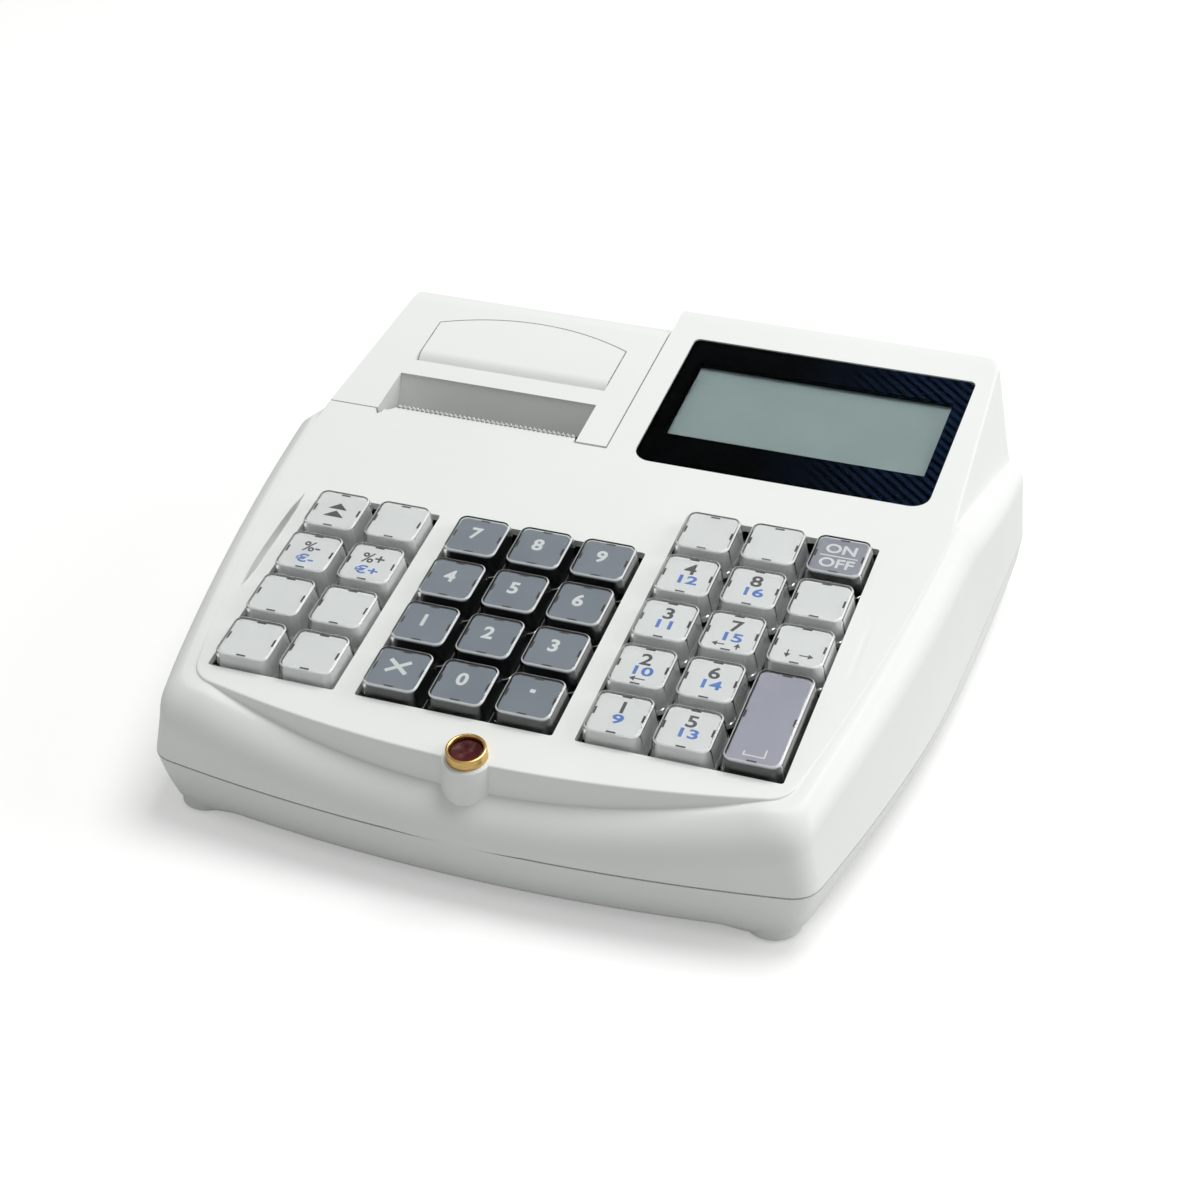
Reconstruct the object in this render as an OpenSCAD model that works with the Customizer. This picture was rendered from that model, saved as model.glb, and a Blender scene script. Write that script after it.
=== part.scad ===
// Counter ticket register with a keyboard deck, an operator display and a drop-in receipt printer.
// Millimetres, +Z up, feet on Z = 0, front toward -Y.

/* [Case] */
// Whole width of the case at its widest (mm)
case_w = 214; // [190:1:240]
// Rear wall position, and front centre at its negative (mm from the middle)
half_d = 106; // [95:1:120]
// Height of the deck plane over the middle of the case (mm)
deck_height = 56.6; // [52:0.2:62]
// Slope of the keyboard and display deck, front down (degrees)
deck_tilt = 10.44; // [6:0.1:14]
// Wall of the moulded case (mm)
wall = 2.2; // [1.8:0.1:3]
// Height of the seam between the two case halves (mm)
seam_z = 17.8; // [15:0.2:21]
// Open line between the two case halves (mm)
seam_gap = 0.5; // [0.3:0.1:0.8]
// Height at which the side ledges leave the deck (mm from the middle)
ledge_start = 25; // [15:1:40]
// Drop of the front lip at the middle (mm)
front_dip = 8.2; // [4:0.2:10]

/* [Keyboard] */
// Spacing of the keys (mm)
pitch = 19.05; // [18:0.05:20]
// Sideways shift of the outer key groups (mm)
group_gap = 5.715; // [4:0.005:8]
// Row of keys nearest the front, along the deck (mm from its middle)
row0_v = -75.05; // [-77:0.05:-72]
// Height of the key tops over the deck (mm)
key_top = 2.3; // [1.5:0.1:4]
// Travel of a key (mm)
key_travel = 3; // [2:0.1:3.4]
// Width of a key at its skirt (mm)
key_base = 16.2; // [15.6:0.1:16.8]
// Width of a key at its top (mm)
key_face = 14.6; // [14:0.1:15.2]

/* [Printer] */
// Diameter of a full receipt roll (mm)
roll_d = 42; // [36:1:43]
// Width of the receipt paper (mm)
paper_w = 57; // [56:0.5:58]
// Diameter of the rubber platen (mm)
platen_d = 11; // [9:0.5:11]
// Gear module of the paper feed (mm)
gear_m = 0.8; // [0.6:0.1:0.8]

/* [Displays] */
// Width of the operator window (mm)
window_w = 89.4; // [84:0.2:92]
// Length of the operator window along the deck (mm)
window_l = 61.8; // [56:0.2:64]
// Width of the lit area behind it (mm)
lcd_w = 80.2; // [74:0.2:82]
// Length of the lit area along the deck (mm)
lcd_l = 37.5; // [30:0.5:40]
// Width of the customer window (mm)
rear_window_w = 70; // [50:1:74]

/* [Fits] */
// Running clearance of a shaft in its bore, on the radius (mm)
run_gap = 0.06; // [0.02:0.01:0.1]
// Gap round a part that drops into a recess (mm)
drop_gap = 0.3; // [0.2:0.05:0.5]
// Gap between the cover and the case (mm)
cover_gap = 0.5; // [0.4:0.05:0.8]

/* [Hidden] */
$fn = 48;
eps = 0.01;
tilt_k = tan(deck_tilt);

// Plan of the case: bowed front, bowed sides, straight rear.
front_bow = 8.5;
front_bow_w = 91;
side_bow_y = 54;
side_bow_r = 730;
corner_f = 6;
corner_r = 6;
round_f = 9.5;
round_s = 7.5;
round_r = 5;
ledge_k = 0.228;
facet_k = 0.25;
rim_step = 0.7;
panel_y0 = -half_d + 8.4;
panel_bow = 10;
panel_bow_w = 84;
pod_x0 = case_w / 2 - 7.6;
pod_y0 = 22;
pod_k = 0.085;
cover_r = 20;
pod_r = 2.5;

// Lower case.
base_z = 4.5;
foot_dip = 3.3;
boss_seat_z = 14.5;

// Printer cover outline, along X and along the deck.
cover_x = -8.3;
cover_v = half_d - 71.8;
pocket_x0 = -82.8;
pocket_x1 = -18.2;
pocket_v1 = half_d - 52.9;
lid_x0 = -81.5;
lid_x1 = -18.2;
lid_v0 = half_d - 45.5;
lid_v1 = half_d - 17.5;
lid_arc_r = 75;
lid_t = 2;
lid_pin_r = 1.2;
lid_pin_v = half_d - 27;
lid_pin_w = -2.4;
hinge_y = half_d - 5.5;
hinge_z = 46.5;
barrel_r = 5.45;
bay_z = 35;
hinge_pin_r = 2;
ear_x0 = -89;
ear_x1 = -16;

// Printer.
print_x = -50;
platen_v = half_d - 62.1;
platen_w = -17.8;
roll_y = half_d - 32;
roll_z = 35;
tub_gap = 0.4;
motor_y = half_d - 66;
motor_z = 28;
motor_r = 9;
plate_x0 = -80.4;
plate_x1 = -20.8;
plate_t = 1.2;
teeth_platen = 20;
teeth_idler = 24;
teeth_pinion = 10;
gear_x = -19.2;
gear_w = 2.6;
shaft_r = 1.5;

// Keyboard stack, heights below the deck.
plate_w0 = -11.2;
plate_w1 = -10;
switch_top = -8.6;
board_w1 = -16;
board_t = 1.6;
stem_r = 2.75;
stem_end = -12.5;
skirt_end = -key_travel - 0.5;
cap_end = skirt_end - 1.5;

// Screws, one size throughout.
screw_r = 1.5;
screw_len = 8;
head_r = 2.8;
head_h = 2;

// Seal.
seal_y = panel_y0 + 1.9;
seal_r = 6.25;
cup_r = 5.5;

window_x0 = 0.6;
lcd_x0 = 5.1;
lcd_v0 = half_d - 60;
window_v0 = half_d - 74.3;

// Customer window, and the display behind it.
rear_window_x = 50;
rear_window_z0 = 52;
rear_window_z1 = 70;

// ---------- shape functions ----------
function deck_z(y) = deck_height + y * tilt_k;
function dy(v, w) = v * cos(deck_tilt) - w * sin(deck_tilt);
function dz(v, w) = deck_height + v * sin(deck_tilt) + w * cos(deck_tilt);
function mix(a, b, t) = a + (b - a) * min(1, max(0, t));
function xs(y) = case_w / 2 - pow(y - side_bow_y, 2) / (2 * side_bow_r);
function yf(x) = -half_d + front_bow * pow(x / front_bow_w, 2);
function yp(x) = panel_y0 + panel_bow * pow(x / panel_bow_w, 2);
function xp(y) = y < pod_y0 ? xs(y) - mix(9.2, 6.9, (y + 88) / (pod_y0 + 88)) : pod_x0 - pod_k * (y - pod_y0);
function ledge(y) = y < ledge_start ? deck_z(y) : deck_z(ledge_start) - ledge_k * (y - ledge_start);
function step_at(y) = mix(rim_step, 0, (y - 5) / 12);
function dip(x) = front_dip * max(0, 1 - pow(x / 78, 2));
function crest(p, d) = ledge(p[1]) - step_at(p[1]) - d * dip(p[0]);
function bez(a, c, b, t) = a * pow(1 - t, 2) + c * 2 * t * (1 - t) + b * pow(t, 2);

n_front = 9;
n_corner = 4;
n_side1 = 8;
n_side2 = 6;
n_rcorner = 3;
n_half = n_front + n_corner + n_side1 + n_side2 + n_rcorner + 1;

// Half outline in plan: front middle, corner, side, rear corner, rear middle.
// df, ds, dr are insets of the front, side and rear; cf and cr are corner sizes.
function half_plan(df, ds, dr, cf, cr) = let (
    yc0 = -half_d + front_bow + df,
    xc = xs(yc0) - ds,
    yc = yf(xc) + df,
    yr = half_d - dr,
    ya = yc + cf,
    yb = yr - cr
) join_plan(
    [for (i = [0:n_front]) let (x = (xc - cf) * i / n_front) [x, yf(x) + df]],
    [xc, yc], [xs(ya) - ds, ya], ledge_start, yb,
    [for (i = [1:n_side1]) let (y = mix(ya, ledge_start, i / n_side1)) [xs(y) - ds, y]],
    [for (i = [1:n_side2]) let (y = mix(ledge_start, yb, i / n_side2)) [xs(y) - ds, y]],
    [xs(yr) - ds, yr], [xs(yr) - ds - cr, yr]
);

function join_plan(fr, c1, b1, ym, yb, s1, s2, c2, b2) = concat(
    fr,
    [for (i = [1:n_corner]) bez(fr[n_front], c1, b1, i / n_corner)],
    s1, s2,
    [for (i = [1:n_rcorner]) bez(s2[n_side2 - 1], c2, b2, i / n_rcorner)],
    [[0, b2[1]]]
);

// Half outline of the raised panel, pod and cover, inset by d at the front and sides.
function half_panel(d, dr, k) = let (
    cr = corner_r,
    yc = yp(panel_bow_w) + d,
    xc = xp(yc) - d,
    cf = 6,
    yr = half_d - dr,
    ya = yc + cf,
    yb = yr - cr
) join_plan(
    [for (i = [0:n_front]) let (x = (xc - cf) * i / n_front) [x, yp(x) + d]],
    [xc, yc], [xk(ya, k) - d, ya], ledge_start, yb,
    [for (i = [1:n_side1]) let (y = mix(ya, ledge_start, i / n_side1)) [xk(y, k) - d, y]],
    [for (i = [1:n_side2]) let (y = mix(ledge_start, yb, i / n_side2)) [xk(y, k) - d, y]],
    [xk(yr, k) - d, yr], [xk(yr, k) - d - cr, yr]
);
function xk(y, k) = xp(y) + k * facet_k * (deck_z(y) - ledge(y));

function is_front(i) = i <= n_front + 1 ? 1 : 0;
function round_at(i, y) = i <= n_front ? round_f :
    i <= n_front + n_corner ? mix(round_f, round_s, (i - n_front) / n_corner) :
    mix(round_s, round_r, (y - ledge_start) / (half_d - ledge_start));

last_a = 80;
// Ring of the rounded shoulder at angle a, for a skin set in by t.
function shoulder_ring(a, t) = let (
    pl = half_plan(t + (round_f - t) * (1 - cos(last_a)), t + (round_s - t) * (1 - cos(last_a)), t, corner_f, corner_r),
    pa = half_plan(t + (round_f - t) * (1 - cos(a)), t + (round_s - t) * (1 - cos(a)), t, corner_f, corner_r)
) [for (i = [0:n_half]) let (
    r = round_at(i, pl[i][1]),
    rs = i > n_front + n_corner ? (round_s - r) * (1 - cos(a)) : 0,
    z = crest(pl[i], is_front(i)) - t / cos(deck_tilt) - (r - t) * (sin(last_a) - sin(a))
) [i < n_half ? pa[i][0] + rs : 0, pa[i][1], z]];

function flat_ring(z, t) = [for (p = half_plan(t, t, t, corner_f, corner_r)) [p[0], p[1], z]];

// Foot of the raised panel and of the pod side, on the rim and the ledges.
function foot_ring(t) = [for (p = half_panel(t - 0.2, t, 1)) [p[0], p[1],
    crest(p, p[1] < -70 ? 1 : 0) - t / cos(deck_tilt) + mix(0, 0.6, (p[1] - 98) / 5)]];
// Ring h below the deck, set in by d, for a skin set in by t.
function top_ring(h, d, t) = [for (p = half_panel(t + d, t, 0)) [p[0], p[1],
    deck_z(p[1]) - t / cos(deck_tilt) - h]];
function edge_ring(t) = let (f = foot_ring(t), p = half_panel(t, t, 0)) [for (i = [0:n_half])
    let (dzt = deck_z(p[i][1]) - t / cos(deck_tilt), h = min(0.7, 0.5 * (dzt - f[i][2])),
         k = h / max(0.2, dzt - f[i][2]))
    [mix(p[i][0], f[i][0], k), mix(p[i][1], f[i][1], k), dzt - h]];

// Top outline on the deck plane, set in at the rear by the round of the pod's rear edge.
function pod_ring(t) = [for (p = half_panel(t + 0.5, t + pod_r, 0)) [p[0], p[1],
    deck_z(p[1]) - t / cos(deck_tilt)]];

function full(h) = concat(h, [for (i = [len(h) - 2:-1:1]) [-h[i][0], h[i][1], h[i][2]]]);

// Closed skin over a stack of rings, lowest first.
module skin(halves) {
    rings = [for (h = halves) full(h)];
    n = len(rings[0]);
    m = len(rings);
    polyhedron(
        points = [for (r = rings) for (p = r) p],
        faces = concat(
            [[for (j = [0:n - 1]) j]],
            [[for (j = [n - 1:-1:0]) (m - 1) * n + j]],
            [for (i = [0:m - 2]) for (j = [0:n - 1]) [i * n + j, (i + 1) * n + j, (i + 1) * n + (j + 1) % n]],
            [for (i = [0:m - 2]) for (j = [0:n - 1]) [i * n + j, (i + 1) * n + (j + 1) % n, i * n + (j + 1) % n]]
        ),
        convexity = 6
    );
}

module outer_skin() {
    skin([flat_ring(seam_z, 0), shoulder_ring(0, 0), shoulder_ring(22, 0), shoulder_ring(44, 0),
        shoulder_ring(64, 0), shoulder_ring(last_a, 0), foot_ring(0), edge_ring(0), pod_ring(0)]);
}

module inner_skin() {
    skin([flat_ring(seam_z - 3, wall), shoulder_ring(0, wall), shoulder_ring(40, wall),
        shoulder_ring(last_a, wall), foot_ring(wall), top_ring(0, 0, wall)]);
}

// ---------- frames and small helpers ----------
module on_deck() {
    translate([0, 0, deck_height]) rotate([deck_tilt, 0, 0]) children();
}
// Solid along X from x0 to x1 with a profile drawn as (Y, Z).
module along_x(x0, x1) {
    translate([x0, 0, 0]) rotate([90, 0, 90]) linear_extrude(x1 - x0) children();
}
module rod_x(x0, x1, y, z, r) {
    translate([x0, y, z]) rotate([0, 90, 0]) cylinder(h = x1 - x0, r = r);
}
module box(x0, x1, y0, y1, z0, z1) {
    translate([x0, y0, z0]) cube([x1 - x0, y1 - y0, z1 - z0]);
}
module rrect(x0, x1, y0, y1, r) {
    translate([x0 + r, y0]) square([x1 - x0 - 2 * r, y1 - y0]);
    translate([x0, y0 + r]) square([x1 - x0, y1 - y0 - 2 * r]);
    for (x = [x0 + r, x1 - r]) for (y = [y0 + r, y1 - r]) translate([x, y]) circle(r = r);
}

// Side profile of the cover: deck plane, rear round and rear wall; set in by t.
module rear_keep(r, t) {
    cy = half_d - r;
    cz = deck_z(cy) - r / cos(deck_tilt);
    rr = r - t;
    polygon([[-20, 20], [half_d - t, 20], [half_d - t, cz], [cy, cz],
        [cy - rr * sin(deck_tilt), cz + rr * cos(deck_tilt)],
        [-20, cz + rr * cos(deck_tilt) - (20 + cy - rr * sin(deck_tilt)) * tilt_k]]);
    translate([cy, cz]) circle(r = rr);
}
// Everything inboard of the leaning left side, set in by t.
module inside_left_facet(t) {
    nx = 1;
    ny = facet_k * tilt_k - pod_k;
    nz = -facet_k;
    len_n = sqrt(nx * nx + ny * ny + nz * nz);
    dist = -(pod_x0 + pod_k * pod_y0 + facet_k * deck_height) / len_n;
    rotate([0, asin(-nz / len_n), atan2(ny, nx)]) translate([dist + t, -200, -200]) cube([300, 400, 400]);
}

// ---------- printer cover region ----------
function ledge_line(y, g) = ledge(y) + g;

module zone_side(g, zb) {
    polygon([[dy(20, 40), dz(20, 40)], [dy(20, -4), ledge_line(dy(20, -4), g)],
        [hinge_y - 6.1, ledge_line(hinge_y - 6.1, g)], [hinge_y - 6.1, zb], [130, zb], [130, 130]]);
}
// Space round the hinge ears of the case.
module ear_space(r, x0, x1) {
    rod_x(x0, x1, hinge_y, hinge_z, r);
    box(x0, x1, hinge_y - r, hinge_y + 30, 0, hinge_z);
}
module zone_case() {
    difference() {
        intersection() {
            along_x(-130, cover_x + 0.2) zone_side(0.15, hinge_z - 6);
            on_deck() translate([0, 0, -60]) linear_extrude(90)
                polygon([[-130, cover_v], [pocket_x0 - 0.5, cover_v], [pocket_x0 + 1, cover_v - 2.3], [pocket_x0 + 5.6, cover_v + 2],
                    [pocket_x1 - 0.7, cover_v + 2], [pocket_x1 - 0.5, cover_v - 0.4], [cover_x + 0.2, cover_v - 0.4], [cover_x + 0.2, 160], [-130, 160]]);
        }
        ear_space(barrel_r - 0.3, -140, ear_x0 - 0.1);
        ear_space(barrel_r - 0.3, ear_x1 + 0.1, 0);
    }
}
module cover_shell() {
    difference() {
        intersection() {
            along_x(-130, cover_x - 0.25) rear_keep(cover_r, 0);
            inside_left_facet(0);
            along_x(-131, 5) zone_side(0.15 + cover_gap, hinge_z - 1);
            on_deck() translate([0, 0, -60]) linear_extrude(90)
                translate([-131, cover_v + cover_gap]) square([140, 140]);
        }
        intersection() {
            along_x(-131, 5) rear_keep(cover_r, wall);
            inside_left_facet(wall);
        }
        // Room for the hinge ears of the case.
        rod_x(-135, ear_x0 + 0.3, hinge_y, hinge_z, barrel_r + 0.6);
        rod_x(ear_x1 - 0.3, 5, hinge_y, hinge_z, barrel_r + 0.6);
        box(-135, ear_x0 + 0.3, hinge_y, 130, hinge_z - 20, hinge_z + 6);
        box(ear_x1 - 0.3, 5, hinge_y, 130, hinge_z - 20, hinge_z + 6);
        on_deck() box(pocket_x0, pocket_x1, 0, pocket_v1, -40, 20);
        on_deck() translate([0, 0, -20]) linear_extrude(30) lid_shape(0);
    }
}

module lid_shape(g) {
    intersection() {
        translate([lid_x0 + g, lid_v0 + g]) square([lid_x1 - lid_x0 - 2 * g, 40]);
        translate([(lid_x0 + lid_x1) / 2, lid_v1 - lid_arc_r]) circle(r = lid_arc_r - g, $fn = 96);
    }
}

// ---------- case halves ----------
// Screw posts as [x, y, top].
case_posts = [for (sx = [-1, 1]) each [
    [sx * (case_w / 2 - 20), 36 - half_d, deck_z(36 - half_d) - wall / 2],
    [sx * (case_w / 2 - 10), 10, deck_z(10) - 1.3],
    [sx * (case_w / 2 - 13), half_d - 20, bay_z + 1.5]
]];
deck_posts = [for (x = [-41.5, 21.65]) for (v = [-78, -46.5, -14]) [x, v]];
window_box = [[-81.9, -44.8, -8], [-38.2, 18.2, -8], [25.1, 81.3, 10.6]];
key_v0 = -84.2;
tub_r = roll_d / 2 + tub_gap;
tub_x0 = -82.2;
tub_x1 = -18.4;
catch_t = 1.5;

module upper_inside() {
    // Ears that carry the cover.
    for (e = [[8.8 - case_w / 2, ear_x0], [ear_x1, cover_x + 0.8]]) {
        rod_x(e[0], e[1], hinge_y, hinge_z, barrel_r);
        box(e[0], e[1], hinge_y - barrel_r, hinge_y + barrel_r, bay_z + 1, hinge_z);
    }
    // Pod wall beside the printer bay.
    along_x(cover_x + 0.2, cover_x + 2.2)
        polygon([[30, 22], [half_d - 1, 22], [half_d - 1, deck_z(half_d) - 6], [half_d - 4, deck_z(half_d - 4) - 1.1],
            [30, deck_z(30) - 1.1]]);
    // Bay floor and paper tub.
    box(3.6 - case_w / 2, cover_x + 1, half_d - 54, half_d - 1, bay_z, bay_z + 2);
    along_x(tub_x0 - 1.8, tub_x1 + 1.8) intersection() {
        translate([roll_y, roll_z]) circle(r = tub_r + 2);
        square([200, bay_z + 2]);
    }
    // Catches for the release lever.
    on_deck() for (x = [tub_x0 - catch_t, tub_x1]) box(x, x + catch_t, lid_pin_v + 1.2, lid_pin_v + 6, -40, -20);
    on_deck() for (x = [tub_x0 - 0.1, tub_x1 - 2.4]) box(x, x + 2.5, lid_pin_v + 1.2, lid_pin_v + 3.6, -24, -21.5);
    // Posts and gussets for the case screws.
    for (p = case_posts) translate([p[0], p[1], seam_z + seam_gap / 2]) cylinder(h = p[2] - seam_z, r = 3.4);
    for (x = [case_w / 2 - 13, 2 - case_w / 2]) box(x, x + 11, half_d - 21, half_d - 19, seam_z + 3, 40);
    // Posts for the key plate.
    on_deck() for (p = deck_posts) translate([p[0], p[1], plate_w1]) cylinder(h = -plate_w1 - 1, r = 3);
    // Ledge round the operator window.
    on_deck() translate([0, 0, -4.5]) linear_extrude(3.6)
        rrect(window_x0 - 2.2, window_x0 + window_w + 1.6, window_v0 - 3, window_v0 + window_l + 2.5, 2);
    // Frame round the customer window.
    box(rear_window_x - rear_window_w / 2 - 3, rear_window_x + rear_window_w / 2 + 3, half_d - 4.2, half_d - 1,
        rear_window_z0 - 2.5, rear_window_z1 + 2.2);
    // Front wall of the receipt pocket.
    on_deck() box(pocket_x0 + 1.6, pocket_x1 - 0.4, cover_v - 1, cover_v + 1.2, -9.5, -0.9);
    // Seal boss.
    on_deck() translate([0, dv_of(seal_y), -19]) cylinder(h = 18.98, r = seal_r);
}

module upper_case() {
    color([0.89, 0.89, 0.86]) difference() {
        union() {
            difference() {
                outer_skin();
                inner_skin();
                zone_case();
            }
            upper_inside();
        }
        // Space for the roll, open to the printer in front.
        rod_x(tub_x0, tub_x1, roll_y, roll_z, tub_r);
        box(tub_x0, tub_x1, 40, 60, 29, bay_z + 5);
        // Hinge bores.
        rod_x(ear_x0 - 4, ear_x0 + 1, hinge_y, hinge_z, hinge_pin_r + run_gap);
        rod_x(ear_x1 - 1, ear_x1 + 4, hinge_y, hinge_z, hinge_pin_r + run_gap);
        // Key openings.
        on_deck() for (w = window_box) translate([0, 0, -8]) linear_extrude(16)
            rrect(w[0], w[1], key_v0, w[2], 0.8);
        // Recess and opening of the operator window.
        on_deck() translate([0, 0, -2.1]) linear_extrude(10) window_shape(-0.25);
        on_deck() translate([0, 0, -10]) linear_extrude(12)
            rrect(window_x0 + 2.6, window_x0 + window_w - 2.6, window_v0 + 9.8, window_v0 + 57.3, 1.5);
        // Customer window.
        box(rear_window_x - rear_window_w / 2 - drop_gap, rear_window_x + rear_window_w / 2 + drop_gap,
            half_d - 2.1, half_d + 5, rear_window_z0 - drop_gap, rear_window_z1 + drop_gap);
        box(rear_window_x - rear_window_w / 2 + 2, rear_window_x + rear_window_w / 2 - 2, half_d - 8, half_d,
            rear_window_z0 + 2, rear_window_z1 - 2);
        // Screw bores.
        for (p = case_posts) translate([p[0], p[1], seam_z - 1]) cylinder(h = 7, r = screw_r + run_gap);
        on_deck() for (p = deck_posts) translate([p[0], p[1], plate_w1 - 1]) cylinder(h = 8.2, r = screw_r + run_gap);
        // Seat of the seal cup.
        on_deck() translate([0, dv_of(seal_y), -5]) cylinder(h = 20, r = cup_r + run_gap);
        // Rear connector openings.
        for (s = sockets) box(s[0] - s[1] / 2 - drop_gap, s[0] + s[1] / 2 + drop_gap, half_d - 10, half_d + 5,
            10, s[2] + drop_gap);
    }
}

function dv_of(y) = y / cos(deck_tilt);

module window_shape(g) {
    x0 = window_x0 + g;
    x1 = window_x0 + window_w - g;
    v0 = window_v0 + g;
    v1 = window_v0 + window_l - g;
    rb = 5.5;
    rt = 2;
    translate([x0 + rb, v0]) square([x1 - x0 - 2 * rb, v1 - v0]);
    translate([x0, v0 + rb]) square([x1 - x0, v1 - v0 - rb - rt]);
    for (x = [x0 + rb, x1 - rb]) translate([x, v0 + rb]) circle(r = rb);
    for (x = [x0 + rt, x1 - rt]) translate([x, v1 - rt]) circle(r = rt);
    translate([x0 + rt, v1 - rb - 1]) square([rb, rb + 1]);
    translate([x1 - rt - rb, v1 - rb - 1]) square([rb, rb + 1]);
}

// Lower case rings: the lower edge dips at the four corners to meet the feet.
function base_dip(p) = foot_dip * mix(0, 1, (abs(p[0]) - 70) / 8) * mix(0, 1, (abs(p[1]) - 72) / 10);
function low_ring(d, h, k) = [for (p = half_plan(d, d * 0.85, d * 0.8, corner_f, corner_r))
    [p[0], p[1], h - k * base_dip(p)]];

module lower_outer() {
    skin([low_ring(15, base_z, 0), low_ring(10.5, base_z - 0.2, 1), low_ring(6.5, base_z - 0.2, 1),
        low_ring(4.6, base_z + 0.6, 1), low_ring(3.4, base_z + 2.6, 0.9), low_ring(1.4, 11.5, 0),
        flat_ring(seam_z - seam_gap, 0)]);
}
module lower_inner() {
    skin([low_ring(15, base_z + wall, 0), low_ring(8, base_z + wall + 1, 0),
        low_ring(1.4 + wall, 11.5, 0), flat_ring(seam_z + 1, wall)]);
}

board_holes = [for (y = [54 - half_d, half_d - 22]) for (x = [4, case_w / 2 - 29]) [x, y]];
frame_holes = [for (h = [[-74, -10], [-26, -10], [-74, 3], [-44, 3]]) [h[0], motor_y + h[1]]];
foot_at = [for (f = [[25, 18 - half_d], [19, half_d - 16]]) for (side = [1, -1]) [side * (case_w / 2 - f[0]), f[1]]];

module lower_case() {
    color([0.85, 0.85, 0.82]) difference() {
        union() {
            difference() {
                lower_outer();
                lower_inner();
            }
            for (p = case_posts) translate([p[0], p[1], base_z + 1]) cylinder(h = seam_z - seam_gap - base_z - 1, r = 4.8);
            for (p = board_holes) translate([p[0], p[1], base_z + 1]) cylinder(h = 12 - base_z, r = 3.4);
            for (p = frame_holes) translate([p[0], p[1], base_z + 1]) cylinder(h = 16 - base_z, r = 3.4);
            for (p = foot_at) translate([p[0], p[1], 0.9]) cylinder(h = base_z, r = 7.5);
            // Lip that closes the seam from the inside.
            difference() {
                translate([0, 0, seam_z - 4]) linear_extrude(6)
                    polygon([for (p = full(flat_ring(0, wall + 0.2))) [p[0], p[1]]]);
                translate([0, 0, seam_z - 5]) linear_extrude(8)
                    polygon([for (p = full(flat_ring(0, wall + 1.4))) [p[0], p[1]]]);
                box(-20, 95, half_d - 12, half_d + 5, seam_z - seam_gap, 30);
            }
        }
        // Screw holes and head pockets.
        for (p = case_posts) translate([p[0], p[1], -1]) {
            cylinder(h = boss_seat_z + 1, r = head_r + 0.4);
            cylinder(h = 30, r = screw_r + 0.2);
        }
        for (p = board_holes) translate([p[0], p[1], 6.2]) cylinder(h = 20, r = screw_r + run_gap);
        for (p = frame_holes) translate([p[0], p[1], 8.5]) cylinder(h = 20, r = screw_r + run_gap);
        // Foot seats.
        for (p = foot_at) translate([p[0], p[1], -1]) cylinder(h = 2.6, r = 6 + 0.1);
        // Rear connector openings.
        for (s = sockets) box(s[0] - s[1] / 2 - drop_gap, s[0] + s[1] / 2 + drop_gap, half_d - 10, half_d + 5,
            s[3] - drop_gap, 30);
    }
}

module rubber_feet() {
    color([0.12, 0.12, 0.12]) for (p = foot_at) translate([p[0], p[1], 0]) cylinder(h = 1.5, r = 6);
}

// ---------- printer cover ----------
module printer_cover() {
    color([0.9, 0.9, 0.87]) difference() {
        union() {
            cover_shell();
            // Walls of the receipt pocket.
            on_deck() {
                box(pocket_x0 - 1.8, pocket_x1 + 1.8, pocket_v1, pocket_v1 + 1.8, -14, -1);
                box(pocket_x0 - 1.8, pocket_x0, cover_v + cover_gap + 0.5, pocket_v1 + 1, -14, -1);
                box(pocket_x1, pocket_x1 + 1.8, cover_v + cover_gap + 0.5, pocket_v1 + 1, -8, -1);
                // Rim under the front of the release lever.
                box(lid_x0 - 1.8, lid_x1 + 1.8, lid_v0 - 1.8, lid_v0, -8, -1);
                // Hinge blocks of the release lever.
                for (x = [lid_x0 - 3.2, lid_x1]) box(x, x + 3.2, lid_pin_v - 3, lid_pin_v + 3, -5.4, -1);
            }
            // Hinge barrel, its web and its trunnions.
            rod_x(ear_x0 + 0.3, ear_x1 - 0.3, hinge_y, hinge_z, barrel_r);
            box(ear_x0 + 0.3, ear_x1 - 0.3, half_d - wall - 0.6, half_d - 0.1, hinge_z, 58);
            rod_x(ear_x0 - 3.2, ear_x1 + 3.2, hinge_y, hinge_z, hinge_pin_r);
        }
        on_deck() rod_x(lid_x0 - 2.6, lid_x1 + 2.6, lid_pin_v, lid_pin_w, lid_pin_r + run_gap);
    }
}

module cover_latch() {
    color([0.9, 0.9, 0.87]) on_deck() {
        intersection() {
            translate([0, 0, -20]) linear_extrude(30) lid_shape(0.45);
            union() {
                difference() {
                    along_x(-100, 0) lid_profile();
                }
                for (x = [lid_x0 + 0.45, lid_x1 - 2.25]) {
                    box(x, x + 1.8, lid_pin_v - 2.4, lid_pin_v + 1.6, -4.4, -1);
                }
            }
        }
        for (x = [lid_x0 + 0.45, lid_x1 - 2.25]) {
            box(x, x + 1.8, lid_pin_v - 3.4, lid_pin_v - 0.4, -24, -1);
            box(x, x + 1.8, lid_pin_v - 3.4, lid_pin_v + 0.8, -24, -22);
        }
        rod_x(lid_x0 - 2.4, lid_x0 + 1, lid_pin_v, lid_pin_w, lid_pin_r);
        rod_x(lid_x1 - 1, lid_x1 + 2.4, lid_pin_v, lid_pin_w, lid_pin_r);
    }
}
// Lever plate in side profile: flat, with the front rolled down.
module lid_profile() {
    r = 5.5;
    v0 = lid_v0 + 0.45;
    difference() {
        union() {
            translate([v0 + r, -lid_t]) square([40, lid_t]);
            translate([v0 + r, -r]) circle(r = r);
        }
        translate([v0 + r, -r]) circle(r = r - lid_t);
        translate([v0 + r, -20]) square([40, 20 - lid_t]);
        translate([v0 - 2, -20]) square([r + 3, 20 - r]);
    }
}

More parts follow.
